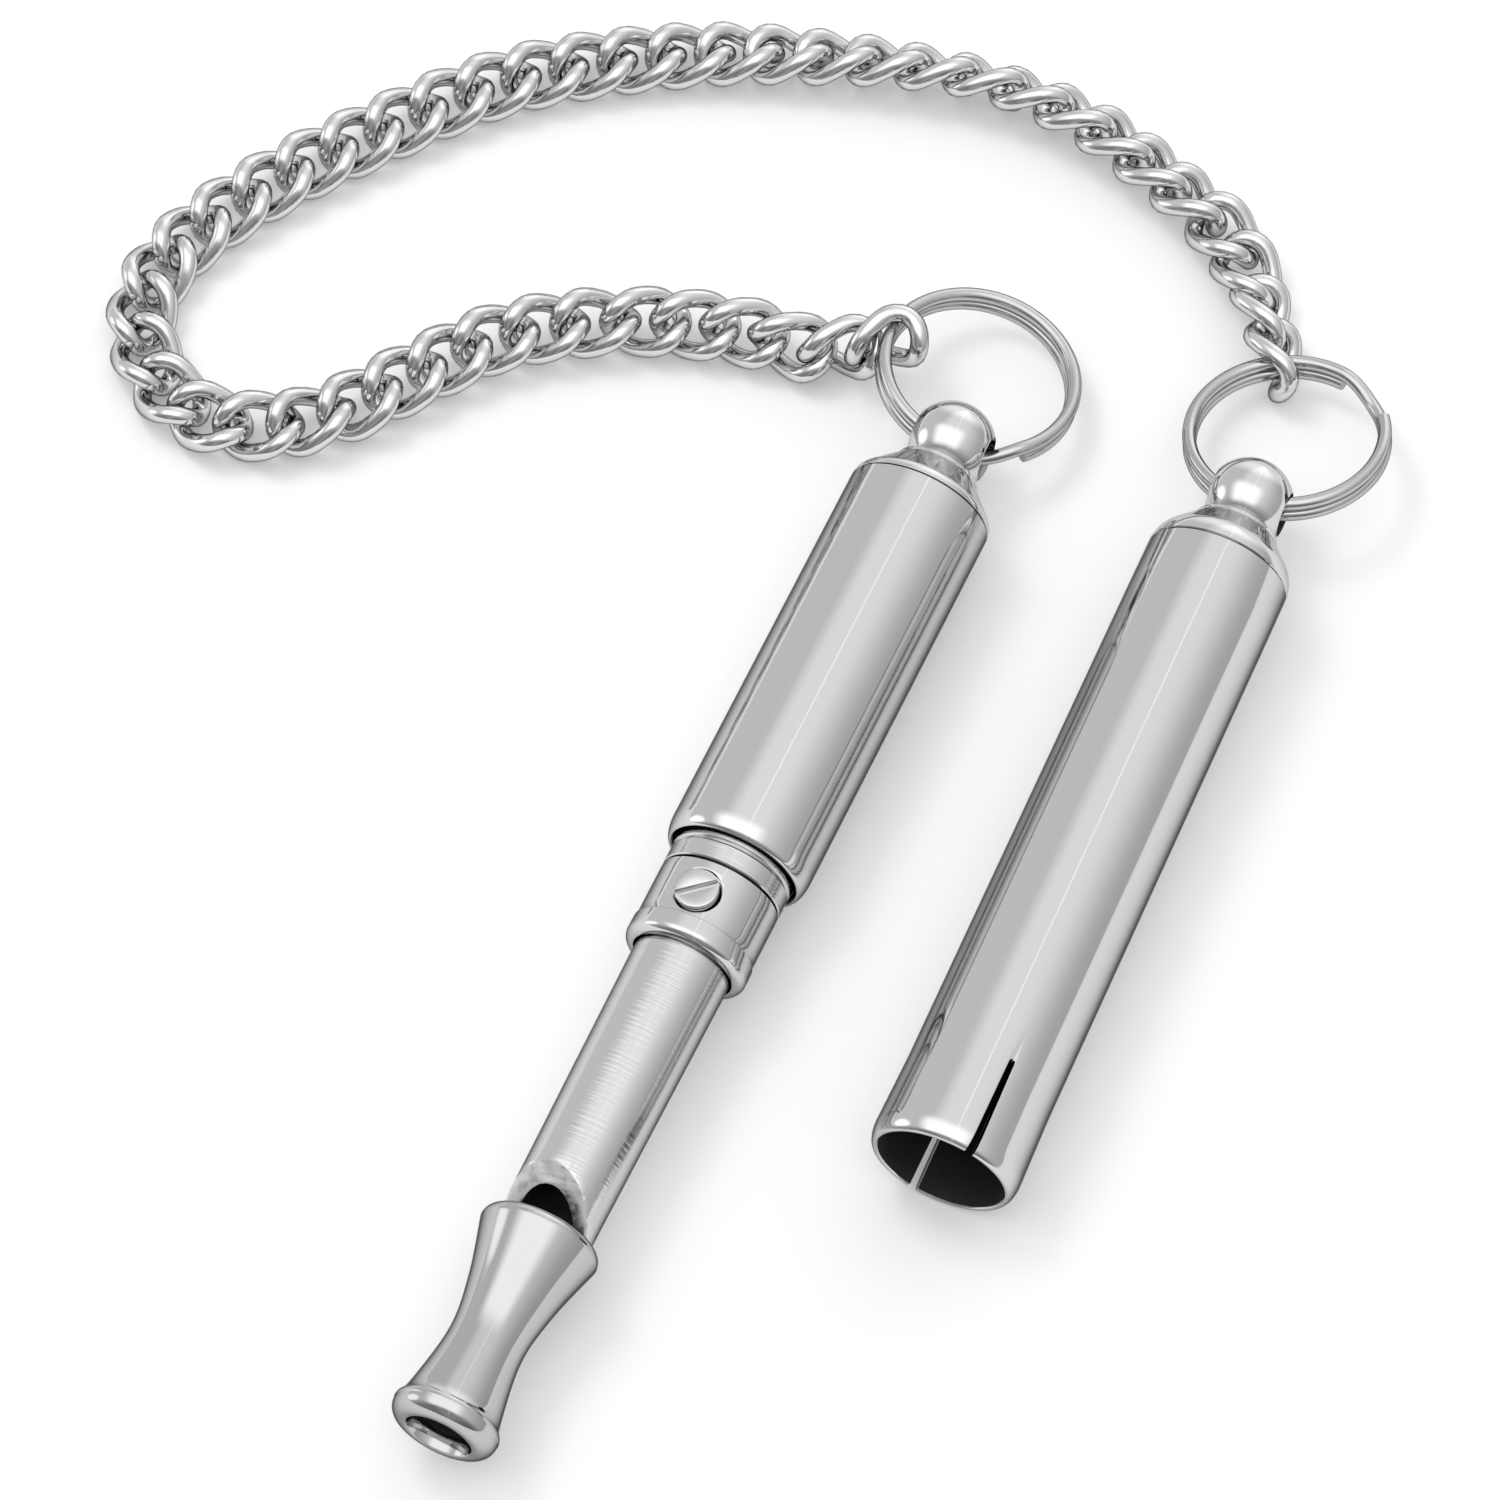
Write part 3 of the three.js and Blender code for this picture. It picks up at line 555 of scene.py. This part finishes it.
def turned_nickel():
    """Nickel over fine turning marks that ring the axis."""
    material, shader = principled("turned_nickel", grey(NICKEL_LEVEL), 1.0, TURNED_ROUGHNESS)
    darken_edges(shader, SHADED_EDGE_SHARE)
    nodes = material.node_tree.nodes
    links = material.node_tree.links
    place = nodes.new("ShaderNodeUVMap")
    stretch = nodes.new("ShaderNodeMapping")
    stretch.inputs["Scale"].default_value = TURNING_STRETCH
    noise = nodes.new("ShaderNodeTexNoise")
    noise.inputs["Scale"].default_value = 1.0
    noise.inputs["Detail"].default_value = TURNING_DETAIL
    links.new(place.outputs["UV"], stretch.inputs["Vector"])
    links.new(stretch.outputs["Vector"], noise.inputs["Vector"])
    add_bump(material, shader, noise.outputs["Fac"], TURNING_STRENGTH, TURNING_DEPTH)
    return material


POLISHED = (POLISHED_ROUGHNESS, POLISHED_GRAIN)
DRAWN = (WIRE_ROUGHNESS, WIRE_GRAIN)
# The nickel finishes darken their edges as painted shade; the finials' nickel is a copy with lighter edges
NICKEL = metal("polished_nickel", grey(NICKEL_LEVEL), *POLISHED, SHADED_EDGE_SHARE)
LIGHTER_EDGED = metal("lighter_edged_nickel", grey(NICKEL_LEVEL), *POLISHED, LIGHTER_EDGE_SHARE)
MOUTH = metal("mouth_shaded_nickel", grey(MOUTH_SHADED_LEVEL), *POLISHED, SHADED_EDGE_SHARE)
TURNED = turned_nickel()
WIRE = metal("chain_lit_nickel", grey(CHAIN_LIT_LEVEL), *DRAWN, SHADED_EDGE_SHARE)
RING = metal("ring_shaded_nickel", grey(RING_SHADED_LEVEL), *DRAWN, SHADED_EDGE_SHARE)
MILLED = metal("milled_lit_nickel", grey(MILLED_LIT_LEVEL), MILLED_ROUGHNESS, MILLED_GRAIN)
BRASS = metal("dark_brass", BRASS_COLOUR, BRASS_ROUGHNESS, BRASS_GRAIN)
LEATHER = non_metal("pressed_leather", LEATHER_COLOUR, LEATHER_ROUGHNESS, LEATHER_GRAIN)
# A near-black non-metal for the insides of bores: painted shade
BORE_SHADE = non_metal("bore_painted_shade", grey(BORE_SHADE_LEVEL), BORE_ROUGHNESS, BORE_GRAIN)


def bored(radius, start=-math.inf):
    """Tells the faces of a bore about Y, from a place along it; they get the painted shade."""
    return lambda at: math.hypot(at.x, at.z) < radius + NEAR and at.y > start


# Whistle
def make_mouthpiece():
    socket = TENON_RADIUS + FIT
    socket_end = TENON_FRONT - FIT
    lip = MOUTH_LIP_RADIUS - MOUTH_LIP_ROUND
    bulge = MOUTH_BULGE_RADIUS - MOUTH_BULGE_ROUND
    curve = [(MOUTH_LIP_RADIUS, MOUTH_TIP + MOUTH_LIP_ROUND)]
    curve += [(radius, MOUTH_TIP + place) for place, radius in MOUTH_CURVE]
    curve.append((MOUTH_BULGE_RADIUS, MOUTH_REAR - MOUTH_BULGE_ROUND))
    outline = [
        (socket, MOUTH_REAR),
        (socket, socket_end),
        (MOUTH_BORE, socket_end),
        (MOUTH_BORE, MOUTH_TIP + MOUTH_SINK_DEPTH + EDGE),
    ]
    sink = (MOUTH_SINK_RADIUS + EDGE, MOUTH_TIP + EDGE)
    outline += rounded(sink, (EDGE, EDGE), MOUTH_SINK_START, 270, EDGE_STEPS)
    outline += rounded((lip, MOUTH_TIP + MOUTH_LIP_ROUND), (MOUTH_LIP_ROUND, MOUTH_LIP_ROUND), -90, 0)
    outline += spline(curve, MOUTH_CURVE_STEPS)[1:]
    outline += rounded(
        (bulge, MOUTH_REAR - MOUTH_BULGE_ROUND), (MOUTH_BULGE_ROUND, MOUTH_BULGE_ROUND), 0, 90
    )[1:]
    piece = turned("mouthpiece_metal", outline, closed=True)
    # Painted shade inside the mouthpiece's bore
    dress(piece, WHISTLE, "head", "mouthpiece", MOUTH, (BORE_SHADE, bored(MOUTH_BORE)))


def make_tube():
    outline = [
        (TUBE_BORE, TUBE_TAIL),
        (TUBE_BORE, TENON_FRONT),
        (TENON_RADIUS, TENON_FRONT),
        (TENON_RADIUS, TUBE_FRONT),
        (TUBE_FRONT_RADIUS, TUBE_FRONT),
    ]
    outline += spread((TUBE_FRONT_RADIUS, TUBE_FRONT), (TUBE_RADIUS, COLLAR_FRONT), TUBE_BANDS)
    outline += [(TUBE_RADIUS, COLLAR_FRONT), (TUBE_RADIUS, TUBE_TAIL)]
    piece = turned("whistle_tube_metal", outline, closed=True)
    top = TUBE_RADIUS + CUT_MARGIN
    ramp = WINDOW_LENGTH / (TUBE_FRONT_RADIUS - WINDOW_FLOOR)
    side = [(WINDOW_FLOOR, MOUTH_REAR), (top, MOUTH_REAR)]
    for i in range(WINDOW_MARKS, -1, -1):
        height = WINDOW_FLOOR + (top - WINDOW_FLOOR) * i / WINDOW_MARKS
        place = TUBE_FRONT + ramp * (height - WINDOW_FLOOR)
        side.append((height, place))
        if i > 0:
            side.append((height - WINDOW_MARK_DEPTH, place - WINDOW_MARK_DEPTH))
    turn = math.radians(WINDOW_TURN)
    carve(piece, prism(side, 2 * top, Matrix.Rotation(-turn, 4, "Y")))
    break_edges(piece, TUBE_BREAK)

    # The ramp's faces get the milled nickel, lightened as painted light
    def on_ramp(at):
        height = at.z * math.cos(turn) - at.x * math.sin(turn)
        off = at.y - TUBE_FRONT - ramp * (height - WINDOW_FLOOR)
        return height > WINDOW_FLOOR and abs(off) < 2 * WINDOW_MARK_DEPTH

    # Painted shade inside the tube's bore
    dress(piece, WHISTLE, "head", "whistle_tube", TURNED, (BORE_SHADE, bored(TUBE_BORE)), (MILLED, on_ramp))


def make_neck():
    seat = BARREL_BORE - FIT
    seat_end = NECK_INSET + NECK_SEAT_LENGTH
    outline = [
        (COLLAR_BORE, seat_end),
        (COLLAR_BORE, -NECK_SHOW),
        (NECK_RADIUS - EDGE, -NECK_SHOW),
        (NECK_RADIUS, -NECK_SHOW + EDGE),
        (NECK_RADIUS, -GROOVE_SETBACK - GROOVE_WIDTH),
        (NECK_RADIUS - GROOVE_DEPTH, -GROOVE_SETBACK - GROOVE_WIDTH / 2),
        (NECK_RADIUS, -GROOVE_SETBACK),
        (NECK_RADIUS, NECK_INSET),
        (seat, NECK_INSET),
        (seat, seat_end),
    ]
    piece = turned("neck_bush_metal", outline, closed=True)
    dress(piece, WHISTLE, "barrel", "neck_bush", TURNED)


def screw_axis_matrix():
    """From the screw's own axis along Z to its place on the collar."""
    return Matrix.Rotation(math.radians(-SCREW_TURN), 4, "Y") @ Matrix.Translation((0, -SCREW_AT, 0))


def make_collar():
    bead = NECK_RADIUS + COLLAR_BEAD
    bead_end = COLLAR_FRONT + COLLAR_BEAD_LENGTH
    edge = NECK_RADIUS - COLLAR_BORE
    outline = [(COLLAR_BORE, COLLAR_REAR), (COLLAR_BORE, COLLAR_FRONT)]
    front = (COLLAR_BORE, COLLAR_FRONT + edge)
    rear = (NECK_RADIUS, COLLAR_REAR - EDGE)
    outline += rounded(front, (bead - COLLAR_BORE, edge), COLLAR_BEAD_START, 0)
    outline += rounded((NECK_RADIUS, bead_end), (COLLAR_BEAD, COLLAR_BEAD), 0, 90, BEAD_STEPS)
    outline += spread((NECK_RADIUS, bead_end + COLLAR_BEAD), rear, COLLAR_BANDS)
    outline += [rear, (NECK_RADIUS - EDGE, COLLAR_REAR)]
    piece = turned("lock_collar_metal", outline, closed=True)
    axis = screw_axis_matrix()
    up = axis.to_3x3() @ Vector((0, 0, 1))
    floor = NECK_RADIUS - SCREW_RECESS
    recess = cylinder(
        SCREW_HEAD_RADIUS + FIT, 2 * CUT_MARGIN, up, axis @ Vector((0, 0, floor + CUT_MARGIN))
    )
    hole = cylinder(SCREW_SHANK_RADIUS + FIT, NECK_RADIUS, up, axis @ Vector((0, 0, NECK_RADIUS / 2)))
    carve(piece, recess, hole)
    break_edges(piece, COLLAR_BREAK)
    dress(piece, WHISTLE, "barrel", "lock_collar", NICKEL)


def make_screw():
    chamfer = SLOT_DEPTH / 2
    outline = [
        (0, -SCREW_SHANK),
        (SCREW_SHANK_RADIUS, -SCREW_SHANK),
        (SCREW_SHANK_RADIUS, 0),
        (SCREW_HEAD_RADIUS, 0),
    ]
    rim = (SCREW_HEAD_RADIUS - chamfer, SCREW_HEAD_HEIGHT - chamfer)
    outline += rounded(rim, (chamfer, chamfer), 0, 90, CHAMFER_STEPS)
    outline.append((0, SCREW_HEAD_HEIGHT))
    piece = turned("lock_screw_metal", outline)
    slot = block(
        (2 * (SCREW_HEAD_RADIUS + CUT_MARGIN), 2 * SLOT_DEPTH, SLOT_WIDTH),
        Matrix.Rotation(math.radians(SLOT_TURN), 4, "Y") @ Matrix.Translation((0, SCREW_HEAD_HEIGHT, 0)),
    )
    carve(piece, slot)
    break_edges(piece, SCREW_BREAK)
    stand = Matrix.Translation((0, 0, NECK_RADIUS - SCREW_RECESS + FIT))
    upright = Matrix.Rotation(math.pi / 2, 4, "X")
    place = WHISTLE @ screw_axis_matrix() @ stand @ upright
    dress(piece, place, "screw", "lock_screw", NICKEL)


def make_barrel():
    end = BARREL_LENGTH + FIT - JOINT_LINE
    outline = [(BARREL_BORE, end), (BARREL_BORE, EDGE), (BARREL_BORE + EDGE, 0)]
    outline += rounded((BARREL_RADIUS - LIP_ROUND, LIP_LENGTH), (LIP_ROUND, LIP_LENGTH), -90, 0)
    outline += [(BARREL_RADIUS, end - EDGE), (BARREL_RADIUS - EDGE, end)]
    piece = turned("barrel_metal", outline, closed=True)
    dress(piece, WHISTLE, "barrel", "barrel", NICKEL)


def make_finial(name, outer, shoulder, bore, foot, matrix, body, node, hole):
    spigot = bore - FIT
    top = ball_at(outer, shoulder)
    seat = top - FLANGE_TO_BALL
    ball_start = math.degrees(math.asin(FLANGE_TO_BALL / BALL_RADIUS))
    outline = list(foot)
    outline += [(spigot, -SPIGOT_LENGTH), (spigot, 0), (outer - EDGE, 0)]
    outline += rounded((outer - shoulder, 0), (shoulder, shoulder), DOME_START, DOME_SLOPE)
    outline += [(FLANGE_RADIUS, flange_at(outer, shoulder)), (FLANGE_RADIUS, seat - EDGE)]
    outline += [(FLANGE_RADIUS - EDGE, seat)]
    outline += rounded((0, top), (BALL_RADIUS, BALL_RADIUS), -ball_start, 90, 4 * ROUND_STEPS)
    piece = turned(name, outline)
    carve(piece, cylinder(BALL_HOLE_RADIUS, 2 * (BALL_RADIUS + CUT_MARGIN), (1, 0, 0), (0, top, 0)))
    break_edges(piece, FINIAL_BREAK)

    # The hole's faces take the hole material: painted shade on the cap's ball, the lighter-edged nickel on
    # the barrel's
    def in_hole(at):
        return math.hypot(at.y - top, at.z) < BALL_HOLE_RADIUS + NEAR and abs(at.x) < BALL_RADIUS

    # The finial's nickel has lighter edges than the tubes', painted less dark
    dress(piece, matrix, body, node, LIGHTER_EDGED, (hole, in_hole))


# Cap
def make_cap():
    mouth = CAP_RADIUS + CAP_FLARE
    rim = mouth - CAP_RIM_ROUND
    end = CAP_LENGTH + FIT - JOINT_LINE
    outline = [(CAP_BORE, end), (CAP_BORE, CAP_FLARE_LENGTH)]
    outline += spread((CAP_BORE, CAP_FLARE_LENGTH), (CAP_BORE + CAP_FLARE, EDGE), FLARE_BORE_BANDS)
    outline += [(CAP_BORE + CAP_FLARE, EDGE), (CAP_BORE + CAP_FLARE + EDGE, 0)]
    outline += rounded((rim, CAP_RIM_LENGTH), (CAP_RIM_ROUND, CAP_RIM_LENGTH), -90, 0)
    outline += spread((mouth, CAP_RIM_LENGTH), (CAP_RADIUS, CAP_FLARE_LENGTH), FLARE_BANDS)
    outline += [(CAP_RADIUS, CAP_FLARE_LENGTH)]
    outline += spread((CAP_RADIUS, CAP_FLARE_LENGTH), (CAP_RADIUS, end - EDGE), CAP_BANDS)
    outline += [(CAP_RADIUS, end - EDGE), (CAP_RADIUS - EDGE, end)]
    piece = turned("cap_tube_metal", outline, closed=True)
    tip = SLIT_END_WIDTH / 2
    side = [(-SLIT_MOUTH_WIDTH / 2, -CUT_MARGIN), (SLIT_MOUTH_WIDTH / 2, -CUT_MARGIN)]
    side += rounded_end(tip, SLIT_LENGTH - tip)
    slits = prism(side, 2 * (mouth + CUT_MARGIN), Matrix.Rotation(math.radians(SLIT_TURN + 90), 4, "Y"))
    carve(piece, slits)
    break_edges(piece, CAP_BREAK)
    # Painted shade inside the cap's bore
    dress(piece, CAP, "cap", "cap_tube", NICKEL, (BORE_SHADE, bored(CAP_BORE + CAP_FLARE, 2 * EDGE)))


# Split rings
def make_ring(name, lie, ball, node):
    total = 720 - RING_STEP_TURN - RING_END_GAP

    def point(turn):
        angle = math.radians(lie["ends"] + turn)
        share = min(max((turn - 360 + RING_STEP_TURN) / RING_STEP_TURN, 0), 1)
        rise = share * share * (3 - 2 * share)
        return Vector(
            (RING_RADIUS * math.cos(angle), RING_RADIUS * math.sin(angle), (rise - 0.5) * RING_LIFT)
        )

    places = []
    for i in range(RING_STEPS + 1):
        turn = total * i / RING_STEPS
        angle = math.radians(lie["ends"] + turn)
        out = Vector((math.cos(angle), math.sin(angle), 0))
        places.append((point(turn), out, (point(turn + 1) - point(turn - 1)).normalized()))
    piece = wire(name, places, RING_WIRE, closed=False)
    lean = Matrix.Rotation(math.radians(lie["pitch"]), 4, "X")
    lean = lean @ Matrix.Rotation(math.radians(lie["roll"]), 4, "Y")
    lean = lean @ Matrix.Rotation(math.radians(lie["yaw"]), 4, "Z")
    seat = Matrix.Translation((0, RING_RADIUS - RING_SEAT, 0))
    dress(piece, Matrix.Translation(ball) @ Matrix.Scale(MM, 4) @ lean @ seat, node, node, RING)


# Curb chain
def link_places():
    straight = LINK_REACH - LINK_BEND
    outline = []
    for end in (1, -1):
        for i in range(LINK_BEND_STEPS + 1):
            angle = math.pi * (i / LINK_BEND_STEPS - 0.5)
            out = (end * math.cos(angle), end * math.sin(angle))
            outline.append((end * straight + LINK_BEND * out[0], LINK_BEND * out[1], out))
        for i in range(1, LINK_SIDE_STEPS):
            x = end * straight * (1 - 2 * i / LINK_SIDE_STEPS)
            outline.append((x, end * LINK_BEND, (0, end)))

    def twisted(x, y):
        turn = math.radians(LINK_TWIST * x / (2 * LINK_REACH))
        return Vector((x, y * math.cos(turn), y * math.sin(turn)))

    places = []
    for i, (x, y, out) in enumerate(outline):
        before = outline[i - 1]
        after = outline[(i + 1) % len(outline)]
        along = (twisted(after[0], after[1]) - twisted(before[0], before[1])).normalized()
        turn = math.radians(LINK_TWIST * x / (2 * LINK_REACH))
        outward = Vector((out[0], out[1] * math.cos(turn), out[1] * math.sin(turn)))
        places.append((twisted(x, y), outward, along))
    return places


def link_matrix(number):
    """A link's place and roll, read from its solid and the joints at its two ends."""
    far = "cap_ring_turn" if number == LINK_COUNT else f"chain_hinge_{number + 1:02d}"
    start = Vector(JOINTS[f"chain_hinge_{number:02d}"]["pos_m"])
    along = (Vector(JOINTS[far]["pos_m"]) - start).normalized()
    points = [vertex.co for vertex in frame["nodes"][f"chain_link_{number:02d}"].data.vertices]
    low = Vector([min(p[n] for p in points) for n in range(3)])
    high = Vector([max(p[n] for p in points) for n in range(3)])
    middle = (low + high) / 2
    across = Vector((0, 0, 0))
    for p in points:
        offset = p - middle
        reach = offset.dot(along)
        side = offset - along * reach
        if abs(reach) < LINK_WAIST * MM and side.length > across.length:
            across = side
    across = (across - along * across.dot(along)).normalized()
    basis = Matrix((along, across, along.cross(across))).transposed().to_4x4()
    return Matrix.Translation(middle) @ basis @ Matrix.Scale(MM, 4)


def make_chain():
    places = link_places()
    for number in range(1, LINK_COUNT + 1):
        piece = wire(f"chain_link_{number:02d}_wire", places, LINK_WIRE, closed=True)
        dress(piece, link_matrix(number), f"link_{number:02d}", f"chain_link_{number:02d}", WIRE)


make_mouthpiece()
make_tube()
make_neck()
make_collar()
make_screw()
make_barrel()
make_finial(
    "barrel_finial_metal",
    BARREL_RADIUS,
    BARREL_DOME_ROUND,
    BARREL_BORE,
    [
        (0, SOCKET_DEPTH - SPIGOT_LENGTH),
        (SOCKET_RADIUS, SOCKET_DEPTH - SPIGOT_LENGTH),
        (SOCKET_RADIUS, -SPIGOT_LENGTH),
    ],
    WHISTLE @ Matrix.Translation((0, BARREL_LENGTH + FIT, 0)),
    "barrel",
    "barrel_finial",
    LIGHTER_EDGED,
)
make_cap()
make_finial(
    "cap_finial_metal",
    CAP_RADIUS,
    CAP_DOME_ROUND,
    CAP_BORE,
    [(0, -SPIGOT_LENGTH)],
    CAP @ Matrix.Translation((0, CAP_LENGTH + FIT, 0)),
    "cap",
    "cap_finial",
    # Painted shade inside the cap ball's hole
    BORE_SHADE,
)
make_ring("whistle_ring_wire", WHISTLE_RING, JOINTS["whistle_ring_swing"]["pos_m"], "whistle_ring")
make_ring("cap_ring_wire", CAP_RING, JOINTS["cap_swing"]["pos_m"], "cap_ring")
make_chain()

# Hidden solids that keep their CAD shape
for node, material in (("fipple_plug", BRASS), ("plunger", BRASS), ("plunger_seal", LEATHER)):
    mesh = frame["nodes"][node].data
    mesh.materials.clear()
    mesh.materials.append(material)


# Studio
def make_floor():
    bm = bmesh.new()
    bmesh.ops.create_grid(bm, x_segments=1, y_segments=1, size=FLOOR_REACH)
    floor = finished("floor", bm)
    material, shader = principled("white_sweep", FLOOR_COLOUR, 0.0, 1.0)
    shader.inputs["Specular IOR Level"].default_value = 0.0
    nodes = material.node_tree.nodes
    links = material.node_tree.links
    rays = nodes.new("ShaderNodeLightPath")
    seen = rays.outputs["Is Camera Ray"]
    for ray in ("Is Glossy Ray", "Is Transmission Ray"):
        either = nodes.new("ShaderNodeMath")
        either.operation = "MAXIMUM"
        links.new(seen, either.inputs[0])
        links.new(rays.outputs[ray], either.inputs[1])
        seen = either.outputs["Value"]
    lift = nodes.new("ShaderNodeMath")
    lift.operation = "MULTIPLY"
    lift.inputs[1].default_value = FLOOR_LIFT
    links.new(seen, lift.inputs[0])
    shader.inputs["Emission Color"].default_value = (1, 1, 1, 1)
    links.new(lift.outputs["Value"], shader.inputs["Emission Strength"])
    floor.data.materials.append(material)


def make_light(name, size, place, target, power):
    data = bpy.data.lights.new(name, "AREA")
    data.shape = "RECTANGLE"
    data.size = size[0]
    data.size_y = size[1]
    data.energy = power
    lamp = bpy.data.objects.new(name, data)
    bpy.context.scene.collection.objects.link(lamp)
    lamp.location = place
    lamp.rotation_euler = (Vector(target) - Vector(place)).to_track_quat("-Z", "Y").to_euler()
    lamp.visible_glossy = False


def make_world():
    """A grey tent, lighter overhead and dark towards the front, with a softbox, a strip and a side lamp."""
    world = bpy.data.worlds.new("studio")
    bpy.context.scene.world = world
    world.use_nodes = True
    nodes = world.node_tree.nodes
    links = world.node_tree.links

    def calculate(operation, one, two):
        step = nodes.new("ShaderNodeMath")
        step.operation = operation
        for socket, value in zip(step.inputs, (one, two)):
            if isinstance(value, (int, float)):
                socket.default_value = value
            else:
                links.new(value, socket)
        return step.outputs["Value"]

    def fade(value, start, end, low=0.0, high=1.0):
        step = nodes.new("ShaderNodeMapRange")
        step.interpolation_type = "SMOOTHSTEP"
        step.inputs["From Min"].default_value = start
        step.inputs["From Max"].default_value = end
        step.inputs["To Min"].default_value = low
        step.inputs["To Max"].default_value = high
        links.new(value, step.inputs["Value"])
        return step.outputs["Result"]

    def between(level, share, other):
        """One level, giving way to another by a share."""
        rest = calculate("MULTIPLY", level, calculate("SUBTRACT", 1.0, share))
        return calculate("ADD", rest, calculate("MULTIPLY", share, other))

    place = nodes.new("ShaderNodeTexCoord")
    parts = nodes.new("ShaderNodeSeparateXYZ")
    links.new(place.outputs["Generated"], parts.inputs["Vector"])
    angle = calculate("ARCTAN2", parts.outputs["X"], parts.outputs["Z"])
    share = nodes.new("ShaderNodeMapRange")
    share.inputs["From Min"].default_value = -math.pi
    share.inputs["From Max"].default_value = math.pi
    links.new(angle, share.inputs["Value"])
    walls = nodes.new("ShaderNodeValToRGB")
    walls.color_ramp.interpolation = "EASE"
    links.new(share.outputs["Result"], walls.inputs["Fac"])
    marks = walls.color_ramp.elements
    while len(marks) > 1:
        marks.remove(marks[-1])
    marks[0].position = (WALLS[0][0] + 180) / 360
    for turn, _ in WALLS[1:]:
        marks.new((turn + 180) / 360)
    for mark, (_, level) in zip(marks, WALLS):
        mark.color = (*grey(level), 1)

    front = fade(parts.outputs["Y"], *DARK_FRONT, 1.0, DARK_FRONT_LEVEL)
    level = calculate("MULTIPLY", walls.outputs["Color"], front)
    level = calculate("ADD", level, fade(parts.outputs["Y"], *REAR_GLOW, 0.0, REAR_GLOW_LEVEL))
    off_strip = calculate("ABSOLUTE", calculate("SUBTRACT", angle, math.radians(STRIP_AT)), 0.0)
    level = calculate("ADD", level, fade(off_strip, math.radians(STRIP_HALF_WIDTH), 0.0, 0.0, STRIP_LEVEL))
    softbox = fade(angle, math.radians(SOFTBOX_LEFT[0]), math.radians(SOFTBOX_LEFT[1]))
    softbox = calculate(
        "MULTIPLY", softbox, fade(angle, math.radians(SOFTBOX_RIGHT[0]), math.radians(SOFTBOX_RIGHT[1]))
    )
    softbox = calculate("MULTIPLY", softbox, fade(parts.outputs["Y"], *SOFTBOX_REAR))
    softbox = calculate("MULTIPLY", softbox, fade(parts.outputs["Y"], *SOFTBOX_FRONT))
    level = between(level, softbox, SOFTBOX_LEVEL)
    towards = nodes.new("ShaderNodeVectorMath")
    towards.operation = "DOT_PRODUCT"
    towards.inputs[1].default_value = Vector(SIDE_LAMP_TOWARDS).normalized()
    links.new(place.outputs["Generated"], towards.inputs[0])
    lamp = fade(towards.outputs["Value"], *(math.cos(math.radians(edge)) for edge in SIDE_LAMP_EDGE))
    level = between(level, lamp, SIDE_LAMP_LEVEL)
    ground = nodes["Background"]
    links.new(level, ground.inputs["Color"])
    ground.inputs["Strength"].default_value = 1.0


def make_camera():
    azimuth = math.radians(CAMERA_AZIMUTH)
    elevation = math.radians(CAMERA_ELEVATION)
    back = Vector(
        (
            math.sin(azimuth) * math.cos(elevation),
            -math.cos(azimuth) * math.cos(elevation),
            math.sin(elevation),
        )
    )
    target = Vector(JOINTS["whistle_ring_swing"]["pos_m"]) + Vector(VIEW_FROM_BALL) * MM
    data = bpy.data.cameras.new("photo_view")
    data.sensor_width = CAMERA_SENSOR
    data.lens = CAMERA_LENS
    data.clip_start = CAMERA_CLIP
    camera = bpy.data.objects.new("photo_view", data)
    bpy.context.scene.collection.objects.link(camera)
    camera.location = target + back * CAMERA_DISTANCE * MM
    camera.rotation_euler = (-back).to_track_quat("-Z", "Y").to_euler()
    bpy.context.scene.camera = camera


make_floor()
make_world()
make_light("key", KEY_SIZE, KEY_PLACE, (0, 0, 0), KEY_POWER)
make_camera()
bpy.context.scene.view_settings.view_transform = "Standard"
